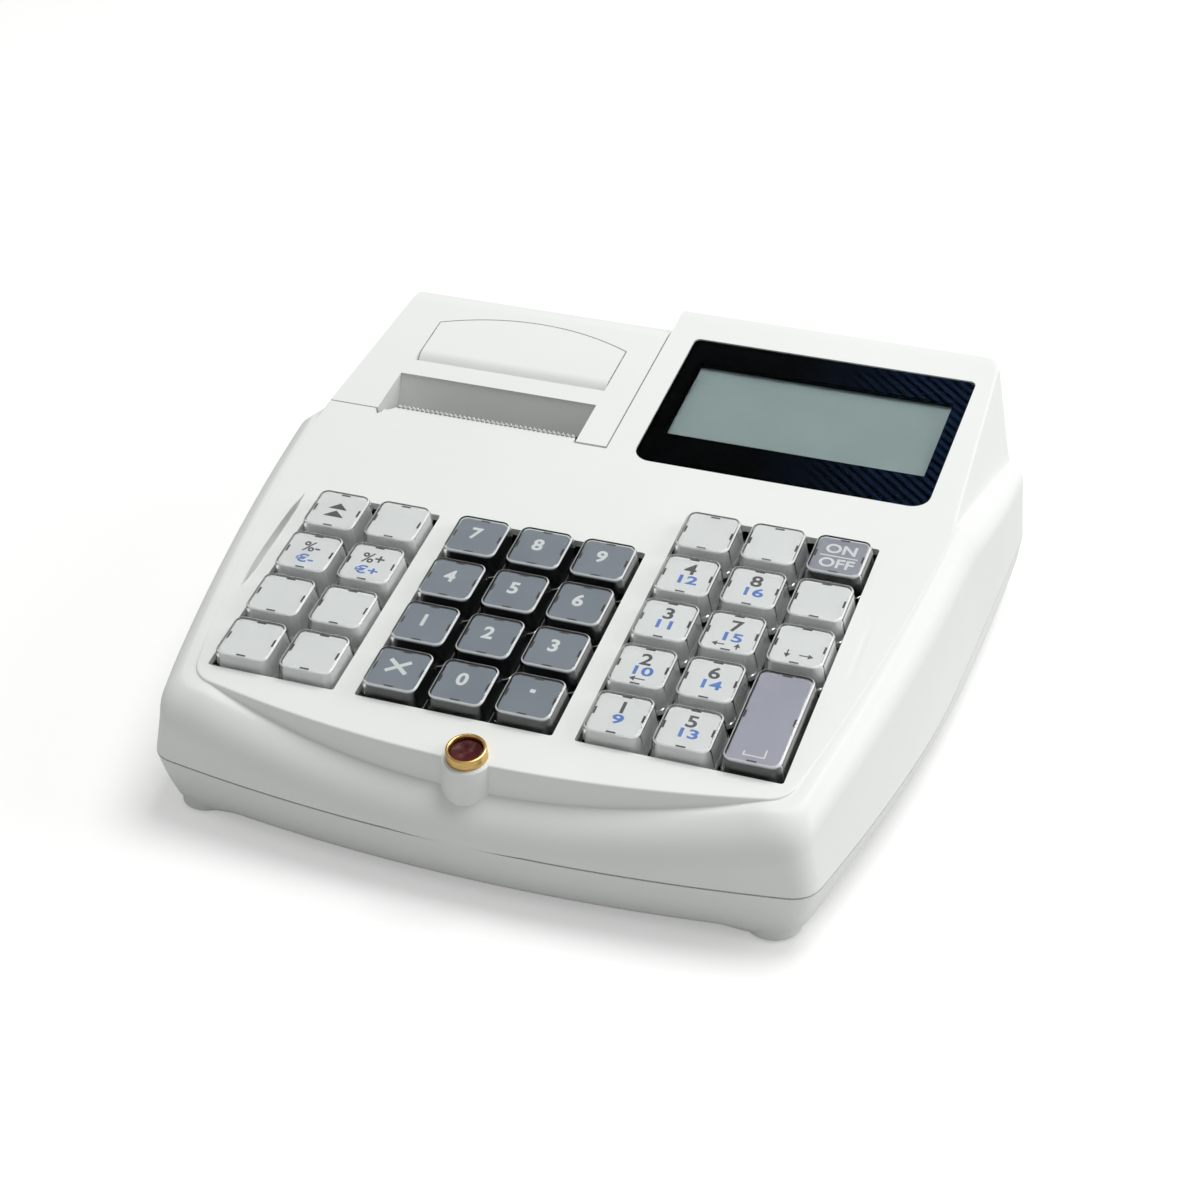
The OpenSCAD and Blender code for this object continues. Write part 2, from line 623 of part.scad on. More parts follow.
module tear_bar() {
    n = 38;
    x0 = -77;
    p = (-19.1 - x0) / n;
    color([0.75, 0.75, 0.74]) on_deck() translate([0, 36.25, 0]) rotate([90, 0, 0]) mirror([0, 0, 1])
        linear_extrude(0.6) polygon(concat([[x0, -5]], [[-19.1, -5]],
            [for (i = [n:-1:1]) each [[x0 + i * p, 0], [x0 + (i - 0.5) * p, 0.9]]], [[x0, 0]]));
}

// ---------- displays ----------
module display_window() {
    color([0.05, 0.05, 0.06]) on_deck() translate([0, 0, -2]) linear_extrude(2) window_shape(0);
}
module display_module() {
    color([0.3, 0.4, 0.35]) on_deck() {
        box(window_x0 + 1, window_x0 + window_w - 1, window_v0 + 7.3, window_v0 + 60.3, -6.4, -4.6);
        box(lcd_x0 - 1, lcd_x0 + lcd_w + 1, lcd_v0 - 1.5, lcd_v0 + lcd_l + 1.5, -4.6, -2.5);
    }
}
module customer_window() {
    color([0.06, 0.06, 0.07]) box(rear_window_x - rear_window_w / 2, rear_window_x + rear_window_w / 2,
        half_d - 2, half_d - 0.1, rear_window_z0, rear_window_z1);
}
module customer_module() {
    color([0.3, 0.4, 0.35]) {
        box(rear_window_x - rear_window_w / 2 + 3, rear_window_x + rear_window_w / 2 - 3,
            half_d - 4.4, half_d - 2.3, rear_window_z0 + 3, rear_window_z1 - 3);
        box(rear_window_x - rear_window_w / 2 - 1, rear_window_x + rear_window_w / 2 + 1,
            half_d - 6, half_d - 4.4, rear_window_z0 - 1, rear_window_z1 + 1);
    }
}

// ---------- keyboard ----------
module frustum(a, b, r0, r1, h) {
    for (x = [-a, a]) for (y = [-b, b]) translate([x, y, 0]) cylinder(h = h, r1 = r0, r2 = r1);
    translate([0, b, 0]) rotate([90, 0, 0]) linear_extrude(2 * b)
        polygon([[-a - r0, 0], [a + r0, 0], [a + r1, h], [-a - r1, h]]);
    rotate([0, 0, 90]) translate([0, a, 0]) rotate([90, 0, 0]) linear_extrude(2 * a)
        polygon([[-b - r0, 0], [b + r0, 0], [b + r1, h], [-b - r1, h]]);
}

key_a = 5.3;
key_r0 = key_base / 2 - key_a;
key_r1 = key_face / 2 - key_a;
key_h = key_top - skirt_end;

// One key: opaque cap with its stem, under a clear cover. grow lengthens it along the deck.
module key(x, v, tone, grow = 0) {
    b = key_a + grow;
    on_deck() translate([x, v, 0]) {
        color(tone) {
            translate([0, 0, cap_end]) frustum(key_a, b, key_r0, key_r0, skirt_end - cap_end);
            translate([0, 0, skirt_end - eps]) frustum(key_a, b, key_r0 - 1.05, key_r1 - 1.1, key_h - 1.1);
            translate([0, 0, stem_end]) cylinder(h = cap_end - stem_end + 1, r = stem_r);
        }
        color([0.9, 0.92, 0.92, 0.5]) translate([0, 0, skirt_end + 0.05]) difference() {
            frustum(key_a, b, key_r0, key_r1, key_h - 0.05);
            translate([0, 0, -eps]) frustum(key_a, b, key_r0 - 0.9, key_r1 - 0.95, key_h - 0.95);
        }
    }
}

white_key = [0.93, 0.93, 0.92];
slate_key = [0.3, 0.33, 0.4];
lilac_key = [0.72, 0.7, 0.78];
grey_key = [0.62, 0.63, 0.66];

function col_x(c) = (c - 3.5) * pitch + (c < 2 ? -group_gap : c > 4 ? group_gap : 0);
function row_v(r) = row0_v + r * pitch;

// Every switch position as [column, row]; the long key sits between two rows.
switch_at = concat(
    [for (c = [0:1]) for (r = [0:3]) [c, r]],
    [for (c = [2:4]) for (r = [0:3]) [c, r]],
    [for (c = [5:6]) for (r = [0:4]) [c, r]],
    [[7, 0.5], [7, 2], [7, 3], [7, 4]]
);

module key_plate() {
    color([0.1, 0.1, 0.11]) on_deck() difference() {
        box(-82.4, 82.4, -85.5, 12, plate_w0, plate_w1);
        for (s = switch_at) translate([col_x(s[0]), row_v(s[1]), 0]) box(-6.85, 6.85, -6.85, 6.85, -20, 0);
        for (p = deck_posts) translate([p[0], p[1], -20]) cylinder(h = 20, r = screw_r + 0.2);
    }
}
module key_switches() {
    color([0.12, 0.12, 0.13]) on_deck() for (s = switch_at) translate([col_x(s[0]), row_v(s[1]), 0]) difference() {
        union() {
            box(-6.75, 6.75, -6.75, 6.75, board_w1, plate_w1 + 0.2);
            box(-7.5, 7.5, -7.5, 7.5, plate_w1 + 0.02, switch_top);
        }
        translate([0, 0, board_w1 + 0.4]) cylinder(h = 20, r = stem_r + run_gap);
    }
}
module keyboard_board() {
    color([0.1, 0.35, 0.2]) on_deck() difference() {
        box(-82.5, 82.5, -84.5, 10.5, board_w1 - board_t, board_w1);
        for (p = deck_posts) translate([p[0], p[1], -30]) cylinder(h = 30, r = head_r + 0.6);
    }
}

// ---------- electronics ----------
// Rear connectors as [x, width, top, bottom, depth].
sockets = [[case_w / 2 - 29, 9, 25.6, 14.6, 12], [case_w / 2 - 49, 16, 28, 14.6, 16], [case_w / 2 - 71, 16, 28, 14.6, 16],
    [case_w / 2 - 96.5, 31, 27, 14.6, 12]];

module main_board() {
    color([0.1, 0.35, 0.2]) difference() {
        union() {
            box(-3, case_w / 2 - 21, 48 - half_d, half_d - 8, 13, 14.6);
            box(20, 46, -20, 6, 14.6, 17.6);
            box(54, 70, -16, 8, 14.6, 17.2);
            box(10, 28, 30, 48, 14.6, 22);
            translate([64, 44, 14.6]) cylinder(h = 3.4, r = 10);
            translate([44, 62, 14.6]) cylinder(h = 12, r = 5);
        }
        for (p = board_holes) translate([p[0], p[1], 10]) cylinder(h = 10, r = screw_r + 0.2);
    }
}
module rear_sockets() {
    color([0.1, 0.1, 0.1]) for (s = sockets) difference() {
        box(s[0] - s[1] / 2, s[0] + s[1] / 2, half_d - s[4], half_d - 0.3, 14.62, s[2]);
        if (s[1] < 10) {
            translate([s[0], half_d - 9, 20.2]) rotate([-90, 0, 0]) cylinder(h = 12, r = 3.1);
        } else if (s[1] < 20) {
            box(s[0] - 6, s[0] + 6, half_d - 12, half_d + 1, 17.5, 24.5);
        } else {
            box(s[0] - 9, s[0] + 9, half_d - 6, half_d + 1, 16.8, 24.8);
        }
    }
}

// ---------- printer ----------
module frame_side() {
    translate([motor_y, 0]) polygon([[-13, 17], [6, 17], [10, 24], [10, 40], [12.4, 44], [12.4, 50], [9, 53], [2, 54],
        [-4, 51.5], [-11, 45], [-15, 38], [-15, 26]]);
}
py = dy(platen_v, platen_w);
pz = dz(platen_v, platen_w);
d_pi = gear_m * (teeth_platen + teeth_idler) / 2;
d_im = gear_m * (teeth_pinion + teeth_idler) / 2;
d_pm = sqrt(pow(py - motor_y, 2) + pow(pz - motor_z, 2));
a_mp = atan2(pz - motor_z, py - motor_y);
a_mi = a_mp + acos((d_im * d_im + d_pm * d_pm - d_pi * d_pi) / (2 * d_im * d_pm));
iy = motor_y + d_im * cos(a_mi);
iz = motor_z + d_im * sin(a_mi);

module printer_frame() {
    color([0.7, 0.7, 0.7]) difference() {
        union() {
            along_x(plate_x0, plate_x0 + plate_t) frame_side();
            along_x(plate_x1, plate_x1 + plate_t) frame_side();
            box(plate_x0, plate_x1 + plate_t, motor_y - 13, motor_y + 6, 17, 18.2);
            rod_x(plate_x1, gear_x + gear_w + 0.8, iy, iz, shaft_r);
        }
        rod_x(plate_x0 - 1, plate_x1 + 4, py, pz, shaft_r + run_gap);
        rod_x(plate_x1 - 1, plate_x1 + 4, motor_y, motor_z, 3);
        for (p = frame_holes) translate([p[0], p[1], 10]) cylinder(h = 10, r = screw_r + 0.2);
    }
}
module print_head() {
    color([0.25, 0.25, 0.27]) on_deck() {
        box(plate_x0 + plate_t + 0.1, plate_x1 - 0.1, platen_v - platen_d / 2 - 3.6, platen_v - platen_d / 2 - 1.1, -23.5, -11.5);
        box(print_x - 28, print_x + 28, platen_v - platen_d / 2 - 1.1, platen_v - platen_d / 2 - 0.1, -22, -14);
    }
}
module platen_roller() {
    rod_x(print_x - 28.6, print_x + 28.6, py, pz, platen_d / 2);
    rod_x(plate_x0 - 0.8, gear_x + gear_w + 0.4, py, pz, shaft_r);
}

// Involute spur gear in the YZ plane.
function inv_pt(rb, t) = [rb * (cos(t) + t * PI / 180 * sin(t)), rb * (sin(t) - t * PI / 180 * cos(t))];
function rot2(p, a) = [p[0] * cos(a) - p[1] * sin(a), p[0] * sin(a) + p[1] * cos(a)];
module gear2d(z, lash) {
    rp = gear_m * z / 2;
    rb = rp * cos(20);
    ra = rp + gear_m;
    rr = rp - 1.25 * gear_m;
    tp = sqrt(pow(rp / rb, 2) - 1) * 180 / PI;
    ta = sqrt(pow(ra / rb, 2) - 1) * 180 / PI;
    t0 = rr > rb ? sqrt(pow(rr / rb, 2) - 1) * 180 / PI : 0;
    half = 90 / z - lash / rp * 90 / PI;
    shift = half + atan2(inv_pt(rb, tp)[1], inv_pt(rb, tp)[0]);
    flank = [for (i = [0:4]) rot2(inv_pt(rb, t0 + (ta - t0) * i / 4), -shift)];
    root = min(rr, rb);
    polygon([for (k = [0:z - 1]) each concat(
        [rot2([root, 0], k * 360 / z - shift)],
        [for (p = flank) rot2(p, k * 360 / z)],
        [for (i = [4:-1:0]) rot2([flank[i][0], -flank[i][1]], k * 360 / z)],
        [rot2([root, 0], k * 360 / z + shift)]
    )]);
}
module gear_at(y, z, n, phase, bore) {
    translate([gear_x, y, z]) rotate([90, 0, 90]) linear_extrude(gear_w) difference() {
        rotate(phase) gear2d(n, 0.12);
        circle(r = bore);
    }
}
// Meshing phases, each gear carried on from the one before it.
a_pi = atan2(iz - pz, iy - py);
ph_platen = a_pi;
ph_idler = a_pi + 180 + 180 / teeth_idler;
a_im = atan2(motor_z - iz, motor_y - iy);
ph_pinion = a_im + 180 + 180 / teeth_pinion - (ph_idler - a_im) * teeth_idler / teeth_pinion;

module platen_gear() {
    color([0.9, 0.9, 0.85]) gear_at(py, pz, teeth_platen, ph_platen, shaft_r + 0.02);
}
module idler_gear() {
    color([0.9, 0.9, 0.85]) gear_at(iy, iz, teeth_idler, ph_idler, shaft_r + run_gap);
}
module motor_pinion() {
    color([0.8, 0.7, 0.4]) {
        gear_at(motor_y, motor_z, teeth_pinion, ph_pinion, 0.5);
        rod_x(plate_x1 - 10, gear_x + gear_w + 0.4, motor_y, motor_z, 1);
    }
}
module feed_motor() {
    color([0.6, 0.6, 0.62]) difference() {
        rod_x(plate_x1 - 14, plate_x1, motor_y, motor_z, motor_r);
        rod_x(plate_x1 - 11, plate_x1 + 1, motor_y, motor_z, 1 + run_gap);
    }
}
module paper_roll() {
    color([0.96, 0.96, 0.95]) difference() {
        rod_x(print_x - paper_w / 2, print_x + paper_w / 2, roll_y, roll_z, roll_d / 2);
        rod_x(print_x - paper_w, print_x + paper_w, roll_y, roll_z, 6);
    }
}

// ---------- seal and screws ----------
module seal_cup() {
    color([0.78, 0.6, 0.25]) on_deck() translate([0, dv_of(seal_y), -4.9]) difference() {
        cylinder(h = 7.9, r = cup_r);
        translate([0, 0, 3]) cylinder(h = 10, r = cup_r - 1);
    }
}
module seal_wax() {
    color([0.35, 0.03, 0.05]) on_deck() translate([0, dv_of(seal_y), -1.85]) cylinder(h = 3.6, r = cup_r - 1.05);
}
module screw() {
    cylinder(h = screw_len, r = screw_r);
    translate([0, 0, -head_h]) difference() {
        cylinder(h = head_h, r = head_r);
        translate([0, 0, -eps]) box(-1.6, 1.6, -0.3, 0.3, 0, 1.1);
        translate([0, 0, -eps]) box(-0.3, 0.3, -1.6, 1.6, 0, 1.1);
    }
}
module case_screws() {
    color([0.5, 0.5, 0.52]) {
        for (p = case_posts) translate([p[0], p[1], boss_seat_z]) screw();
        on_deck() for (p = deck_posts) translate([p[0], p[1], plate_w0]) screw();
        for (p = board_holes) translate([p[0], p[1], 14.6]) rotate([180, 0, 0]) screw();
        for (p = frame_holes) translate([p[0], p[1], 18.2]) rotate([180, 0, 0]) screw();
    }
}

// ---------- keys and nodes ----------
// Every key as [node, column, row, tone].
KEYS = [
    ["function_key_1", 0, 3, white_key], ["function_key_2", 1, 3, white_key],
    ["function_key_3", 0, 2, white_key], ["function_key_4", 1, 2, white_key],
    ["function_key_5", 0, 1, white_key], ["function_key_6", 1, 1, white_key],
    ["function_key_7", 0, 0, white_key], ["function_key_8", 1, 0, white_key],
    ["digit_7_key", 2, 3, slate_key], ["digit_8_key", 3, 3, slate_key], ["digit_9_key", 4, 3, slate_key],
    ["digit_4_key", 2, 2, slate_key], ["digit_5_key", 3, 2, slate_key], ["digit_6_key", 4, 2, slate_key],
    ["digit_1_key", 2, 1, slate_key], ["digit_2_key", 3, 1, slate_key], ["digit_3_key", 4, 1, slate_key],
    ["times_key", 2, 0, slate_key], ["digit_0_key", 3, 0, slate_key], ["point_key", 4, 0, slate_key],
    ["menu_key_1", 5, 4, white_key], ["menu_key_2", 6, 4, white_key], ["on_off_key", 7, 4, grey_key],
    ["group_key_1", 5, 3, white_key], ["group_key_2", 6, 3, white_key], ["side_key_1", 7, 3, white_key],
    ["group_key_3", 5, 2, white_key], ["group_key_4", 6, 2, white_key], ["side_key_2", 7, 2, white_key],
    ["group_key_5", 5, 1, white_key], ["group_key_6", 6, 1, white_key],
    ["group_key_7", 5, 0, white_key], ["group_key_8", 6, 0, white_key],
    ["cash_key", 7, 0.5, lilac_key]
];

upper_case();
lower_case();
rubber_feet();
case_screws();
printer_cover();
cover_latch();
tear_bar();
display_window();
display_module();
customer_window();
customer_module();
key_plate();
key_switches();
keyboard_board();
main_board();
rear_sockets();
printer_frame();
print_head();
platen_roller();
platen_gear();
idler_gear();
feed_motor();
motor_pinion();
paper_roll();
seal_cup();
seal_wax();
for (k = KEYS) key(col_x(k[1]), row_v(k[2]), k[3], k[2] == 0.5 ? pitch / 2 : 0);
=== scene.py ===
"""Looks of a counter ticket register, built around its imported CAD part.

Lengths are millimetres up to the mesh; x, v, w are across, along and above the deck."""
import math

import bmesh
import bpy
from mathutils import Matrix, Vector


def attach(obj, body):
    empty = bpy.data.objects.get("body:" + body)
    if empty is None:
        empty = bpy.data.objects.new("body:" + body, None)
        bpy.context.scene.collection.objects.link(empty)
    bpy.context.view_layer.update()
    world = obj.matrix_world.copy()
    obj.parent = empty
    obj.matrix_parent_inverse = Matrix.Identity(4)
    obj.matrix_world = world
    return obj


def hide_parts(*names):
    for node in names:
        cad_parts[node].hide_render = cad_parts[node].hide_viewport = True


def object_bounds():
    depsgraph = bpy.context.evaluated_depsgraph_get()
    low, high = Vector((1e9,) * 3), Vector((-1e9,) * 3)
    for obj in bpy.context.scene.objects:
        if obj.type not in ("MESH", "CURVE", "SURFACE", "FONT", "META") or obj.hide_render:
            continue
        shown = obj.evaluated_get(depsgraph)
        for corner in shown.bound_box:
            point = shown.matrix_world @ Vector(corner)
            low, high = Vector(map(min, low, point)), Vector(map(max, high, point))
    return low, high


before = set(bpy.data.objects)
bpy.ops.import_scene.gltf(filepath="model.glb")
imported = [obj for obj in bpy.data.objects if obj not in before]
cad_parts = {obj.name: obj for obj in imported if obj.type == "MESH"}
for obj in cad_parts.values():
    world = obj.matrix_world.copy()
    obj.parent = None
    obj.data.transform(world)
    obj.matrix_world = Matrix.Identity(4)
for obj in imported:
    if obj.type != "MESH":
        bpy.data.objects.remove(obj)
cad_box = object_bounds()
MM = 0.001
FINE_GAP, PRINT_T = 0.0005, 0.012

# ---------------------------------------------------------------- sizes
CASE_W = 214.0
HALF_D = 106.0
DECK_H = 56.6
TILT = math.radians(10.44)
TAN = math.tan(TILT)
COS = math.cos(TILT)
SIN = math.sin(TILT)
WALL = 2.2
LEAN_LOW, LEAN_TOP, LEAN_SOFT = 2.4, 0.2, 1.2
SEAM_Z = 17.8
SEAM_GAP = 0.5
LIP_IN, LIP_T = 0.85, 1.2
BASE_Z, FOOT_DIP, FOOT_FACE = 2.6, 1.5, 0.7
LEDGE_Y = 25.0
FRONT_DIP = 8.2
FRONT_BOW = 8.5
LAST_A = 65.0
ROUND_F, ROUND_S, ROUND_R = 13.6, 10.0, 7.0
CORNER = 6.0
RIM_STEP, EDGE_STEP = 0.7, 0.04
PANEL_IN_FRONT, PANEL_IN_REAR = 9.2, 7.0
FACET_K, POD_K, POD_Y0 = 0.175, 0.061, 22.0
VALLEY_X = 86.6
VALLEY = [(24 - 10 * k, -0.3 + 0.7 * math.sin(math.pi * k / 11)) for k in range(12)]
PITCH = 19.05
GROUP_GAP = 5.715
ROW0_V = -75.05
KEY_TOP = 3.9
KEY_BASE, KEY_FACE = 17.8, 15.8
COVER_SKIN, COVER_PLAY = 0.7, 0.13
SKIRT_END, CAP_END = -3.5, -5.0
STEM_R, STEM_END = 2.75, -12.5
KEY_BLOCKS = [(0, 1, 3), (2, 4, 3), (5, 7, 4)]
PLATE_LOW, PLATE_TOP = -11.2, -10.0
WINDOW = (0.6, 89.4, 31.7, 93.5)
LCD = (5.1, 85.3, 46.0, 83.5)
COVER_X, COVER_V = -8.3, 34.2
COVER_GAP = 0.5
COVER_R = 14.0
POCKET_X0, POCKET_X1, POCKET_V1 = -82.8, -18.2, 53.1
LID_X0, LID_X1, LID_V0, LID_V1, LID_R = -81.5, -18.2, 60.5, 88.5, 75.0
LID_PIN, LID_PIN_R = (79.0, -2.4), 1.2
HINGE_Y, HINGE_Z, BARREL_R, PIN_R = 100.5, 46.5, 5.45, 2.0
EAR_X0, EAR_X1 = -89.0, -16.0
BAY_Z = 35.0
ROLL_Y, ROLL_Z, ROLL_R = 74.0, 35.0, 21.0
SEAL_V, SEAL_R, CUP_R = -95.7 / COS, 6.7, 5.5
DECK_POSTS = [(x, v) for x in (-41.5, 21.65) for v in (-78, -46.5, -14)]
CASE_POSTS = [(sx * x, y) for sx in (-1, 1) for x, y in ((87, -70), (97, 10), (94, 86))]
FEET = [(82, -88), (-82, -88), (88, 90), (-88, 90)]
SOCKETS = [(78, 9, 25.6, 14.6), (58, 16, 28, 14.6), (36, 16, 28, 14.6), (10.5, 31, 27, 14.6)]


# ---------------------------------------------------------------- case form
def mix(a, b, t):
    return a + (b - a) * min(1.0, max(0.0, t))


def part_of(a, b, t):
    return tuple(mix(p, q, t) for p, q in zip(a, b))


def column_x(c):
    return (c - 3.5) * PITCH + (-GROUP_GAP if c < 2 else GROUP_GAP if c > 4 else 0)


def row_v(r):
    return ROW0_V + r * PITCH


def deck_z(y):
    return DECK_H + y * TAN


def on_deck(x, v, w):
    """A point of the deck frame (across, along, above the deck) in the part's frame."""
    return (x, v * COS - w * SIN, DECK_H + v * SIN + w * COS)


def side_x(y):
    return CASE_W / 2 - (y - 54) ** 2 / 1460


POD_X0 = side_x(POD_Y0) - PANEL_IN_REAR


def front_y(x):
    return -HALF_D + FRONT_BOW * (x / 91) ** 2


def panel_y(x):
    return -97.6 + 10 * (x / 84) ** 2


def panel_x(y, fall=0.0):
    inset = mix(PANEL_IN_FRONT, PANEL_IN_REAR, (y + 88) / (POD_Y0 + 88))
    edge = side_x(y) - inset if y < POD_Y0 else POD_X0 - POD_K * (y - POD_Y0)
    return edge + fall * FACET_K * (deck_z(y) - ledge(y))


def ledge(y):
    return deck_z(y) if y < LEDGE_Y else deck_z(LEDGE_Y) - 0.228 * (y - LEDGE_Y)


def crest(x, y, front):
    step = mix(RIM_STEP, EDGE_STEP, (y + 90) / 16)
    return ledge(y) - step - front * FRONT_DIP * max(0.0, 1 - (x / 78) ** 2)


def bez(a, c, b, t):
    return tuple(p * (1 - t) ** 2 + q * 2 * t * (1 - t) + r * t * t for p, q, r in zip(a, c, b))


N_FRONT, N_CORNER, N_SIDE, N_REAR, N_END = 28, 8, 26, 22, 6


def outline(front, side, corner, x_end, y_end, middle_y):
    """Half outline from the front middle round to the rear middle, as plan points."""
    xc, yc = corner
    ya, yb = yc + CORNER, y_end - CORNER
    pts = [((xc - CORNER) * i / N_FRONT, front((xc - CORNER) * i / N_FRONT)) for i in range(N_FRONT + 1)]
    end = (side(ya), ya)
    pts += [bez(pts[N_FRONT], (xc, yc), end, i / N_CORNER) for i in range(1, N_CORNER + 1)]
    for y0, y1, n in ((ya, LEDGE_Y, N_SIDE), (LEDGE_Y, yb, N_REAR)):
        pts += [(side(mix(y0, y1, i / n)), mix(y0, y1, i / n)) for i in range(1, n + 1)]
    pts += [bez(pts[-1], (x_end, y_end), (x_end - CORNER, y_end), i / N_END) for i in range(1, N_END + 1)]
    return pts + [(0.0, middle_y)]


def case_outline(df, ds, dr):
    yc0 = -HALF_D + FRONT_BOW + df
    xc = side_x(yc0) - ds
    yr = HALF_D - dr
    return outline(lambda x: front_y(x) + df, lambda y: side_x(y) - ds, (xc, front_y(xc) + df),
                   side_x(yr) - ds, yr, yr)


def panel_outline(d, dr, fall):
    yc = panel_y(84) + d
    yr = HALF_D - dr
    return outline(lambda x: panel_y(x) + d, lambda y: panel_x(y, fall) - d, (panel_x(yc) - d, yc),
                   panel_x(yr, fall) - d, yr, yr)


def shoulder_round(i, y):
    if i <= N_FRONT:
        return ROUND_F
    if i <= N_FRONT + N_CORNER:
        return mix(ROUND_F, ROUND_S, (i - N_FRONT) / N_CORNER)
    return mix(ROUND_S, ROUND_R, (y - LEDGE_Y) / (HALF_D - LEDGE_Y))


def shoulder_row(angle, t):
    """Row of the rounded shoulder, at an angle from the upright wall, for a skin set in by t."""
    def ring(a):
        k = 1 - math.cos(math.radians(a))
        return case_outline(t + (ROUND_F - t) * k, t + LEAN_TOP + (ROUND_S - t) * k, t)
    last, this = ring(LAST_A), ring(angle)
    row = []
    for i, ((lx, ly), (px, py)) in enumerate(zip(last, this)):
        r = shoulder_round(i, ly)
        out = (ROUND_S - r) * (1 - math.cos(math.radians(angle))) if i > N_FRONT + N_CORNER else 0
        z = crest(lx, ly, 1 if i <= N_FRONT + 1 else 0) - t / COS
        z -= (r - t) * (math.sin(math.radians(LAST_A)) - math.sin(math.radians(angle)))
        row.append((px + out if i < len(this) - 1 else 0.0, py, z))
    return row


def seam_row(z, t):
    """Row at the seam, where the side walls lean out the most, up to the whole width."""
    edge = CASE_W / 2 - t
    return [((x + edge - math.hypot(x - edge, LEAN_SOFT)) / 2, y, z)
            for x, y in case_outline(t, t - LEAN_LOW, t)]


def foot_row(t):
    return [(x, y, crest(x, y, 1 if y < -70 else 0) - t / COS + mix(0, 0.6, (y - 98) / 5))
            for x, y in panel_outline(t - 0.2, t, 1)]


def deck_row(d, dr, t=0.0):
    return [(x, y, deck_z(y) - t / COS) for x, y in panel_outline(t + d, t + dr, 0)]


def blend_rows(low, knee, high, steps):
    """Rows that round a knee between two rows, as curves from one to the other."""
    return [[bez(a, k, b, s) for a, k, b in zip(low, knee, high)] for s in steps]


def part_way(a, b, t):
    return [part_of(u, v, t) for u, v in zip(a, b)]


def outer_rows():
    shoulder = [shoulder_row(a, 0) for a in (0, 7, 14, 22, 30, 38, 46, 54, 60, LAST_A)]
    foot, corner, top = foot_row(0), deck_row(0, 0), deck_row(0.6, 3.4)
    seam = seam_row(SEAM_Z, 0)
    edge = []
    for f, c in zip(foot, corner):
        h = min(0.7, 0.5 * (c[2] - f[2]))
        edge.append(tuple(mix(q, p, h / max(0.2, c[2] - f[2])) for p, q in zip(f, c)))
    rise = part_way(foot, edge, 0.25)
    steps = (0.0, 0.2, 0.4, 0.6, 0.8, 1.0)
    rows = [seam] + [part_way(seam, shoulder[0], k) for k in (0.02, 0.3, 0.6, 0.85)] + shoulder
    rows += blend_rows(part_way(shoulder[-1], foot, 0.7), foot, rise, steps)
    rows += blend_rows(edge, corner, top, (0.0, 0.25, 0.5, 0.75, 1.0))
    return rows + [deck_row(1.4, 4.2)]


def inner_rows():
    rows = [seam_row(SEAM_Z - 3, WALL)] + [shoulder_row(a, WALL) for a in (0, 18, 36, 52, LAST_A)]
    return rows + [foot_row(WALL), deck_row(0, 0, WALL)]


def base_dip(x, y):
    return FOOT_DIP * mix(0, 1, (abs(x) - 70) / 8) * mix(0, 1, (abs(y) - 72) / 10)


def low_row(d, h, k, lean=0.0):
    """Row of the lower case, set in by d, with its sides brought out by a lean."""
    edge = CASE_W / 2 - d * 0.85 + LEAN_SOFT
    soft = LEAN_SOFT if lean else 0.0
    return [((x + edge - math.hypot(x - edge, soft)) / 2, y, h - k * base_dip(x, y))
            for x, y in case_outline(d, d * 0.85 - lean, d * 0.8)]


# ---------------------------------------------------------------- solids
def new_object(name, bm, smooth=True):
    mesh = bpy.data.meshes.new(name)
    bm.to_mesh(mesh)
    bm.free()
    piece = bpy.data.objects.new(name, mesh)
    bpy.context.scene.collection.objects.link(piece)
    if smooth:
        mesh.shade_smooth()
    return piece


def vert_ring(bm, points):
    return [bm.verts.new(Vector(p) * MM) for p in points]


def ring_faces(bm, rings, close=(True, True)):
    """Faces between rings of vertices, with the first and the last ring closed."""
    n = len(rings[0])
    faces = [bm.faces.new((low[j], low[(j + 1) % n], high[(j + 1) % n], high[j]))
             for low, high in zip(rings, rings[1:]) for j in range(n)]
    if close[0]:
        faces.append(bm.faces.new(rings[0][::-1]))
    if close[1]:
        faces.append(bm.faces.new(rings[-1]))
    return faces


def solid(name, bm, smooth=True):
    """A piece from a mesh whose faces are turned outward."""
    bmesh.ops.recalc_face_normals(bm, faces=bm.faces)
    return new_object(name, bm, smooth)


def loft(name, rows):
    """Closed solid over rows of points, lowest first."""
    bm = bmesh.new()
    ring_faces(bm, [vert_ring(bm, row) for row in rows])
    return solid(name, bm)


def skin(name, rows):
    """Closed solid over rows of half outlines, mirrored to both sides."""
    return loft(name, [row + [(-x, y, z) for x, y, z in row[-2:0:-1]] for row in rows])


def slab_rows(a, b, sections):
    """Rounded-rectangle rows (half widths a, b to the corner centres) for sections of (radius, height)."""
    steps = 6
    corners = ((a, b, 0), (-a, b, 90), (-a, -b, 180), (a, -b, 270))
    turns = [(x, y, math.radians(a0 + 90 * i / steps)) for x, y, a0 in corners for i in range(steps + 1)]
    return [[(x + r * math.cos(t), y + r * math.sin(t), w) for x, y, t in turns] for r, w in sections]


def stack(bm, rows, x, v, material=0, close=(True, True)):
    """Adds a stack of rows, placed on the deck at x, v."""
    rings = [vert_ring(bm, [on_deck(x + a, v + b, w) for a, b, w in row]) for row in rows]
    for face in ring_faces(bm, rings, close):
        face.material_index = material


PLACES = {
    "plan": lambda a, b, h: (a, b, h),
    "deck": on_deck,
    "side": lambda a, b, h: (h, a, b),
    "rear": lambda a, b, h: (a, h, b),
    "deck_side": lambda a, b, h: on_deck(h, a, b),
}


def prism(points, h0, h1, place="plan", name="solid"):
    """Closed solid with one outline from h0 to h1 in the named place."""
    to = PLACES[place]
    return loft(name, [[to(a, b, h) for a, b in points] for h in (h0, h1)])


def rect(x0, x1, y0, y1):
    return [(x0, y0), (x1, y0), (x1, y1), (x0, y1)]


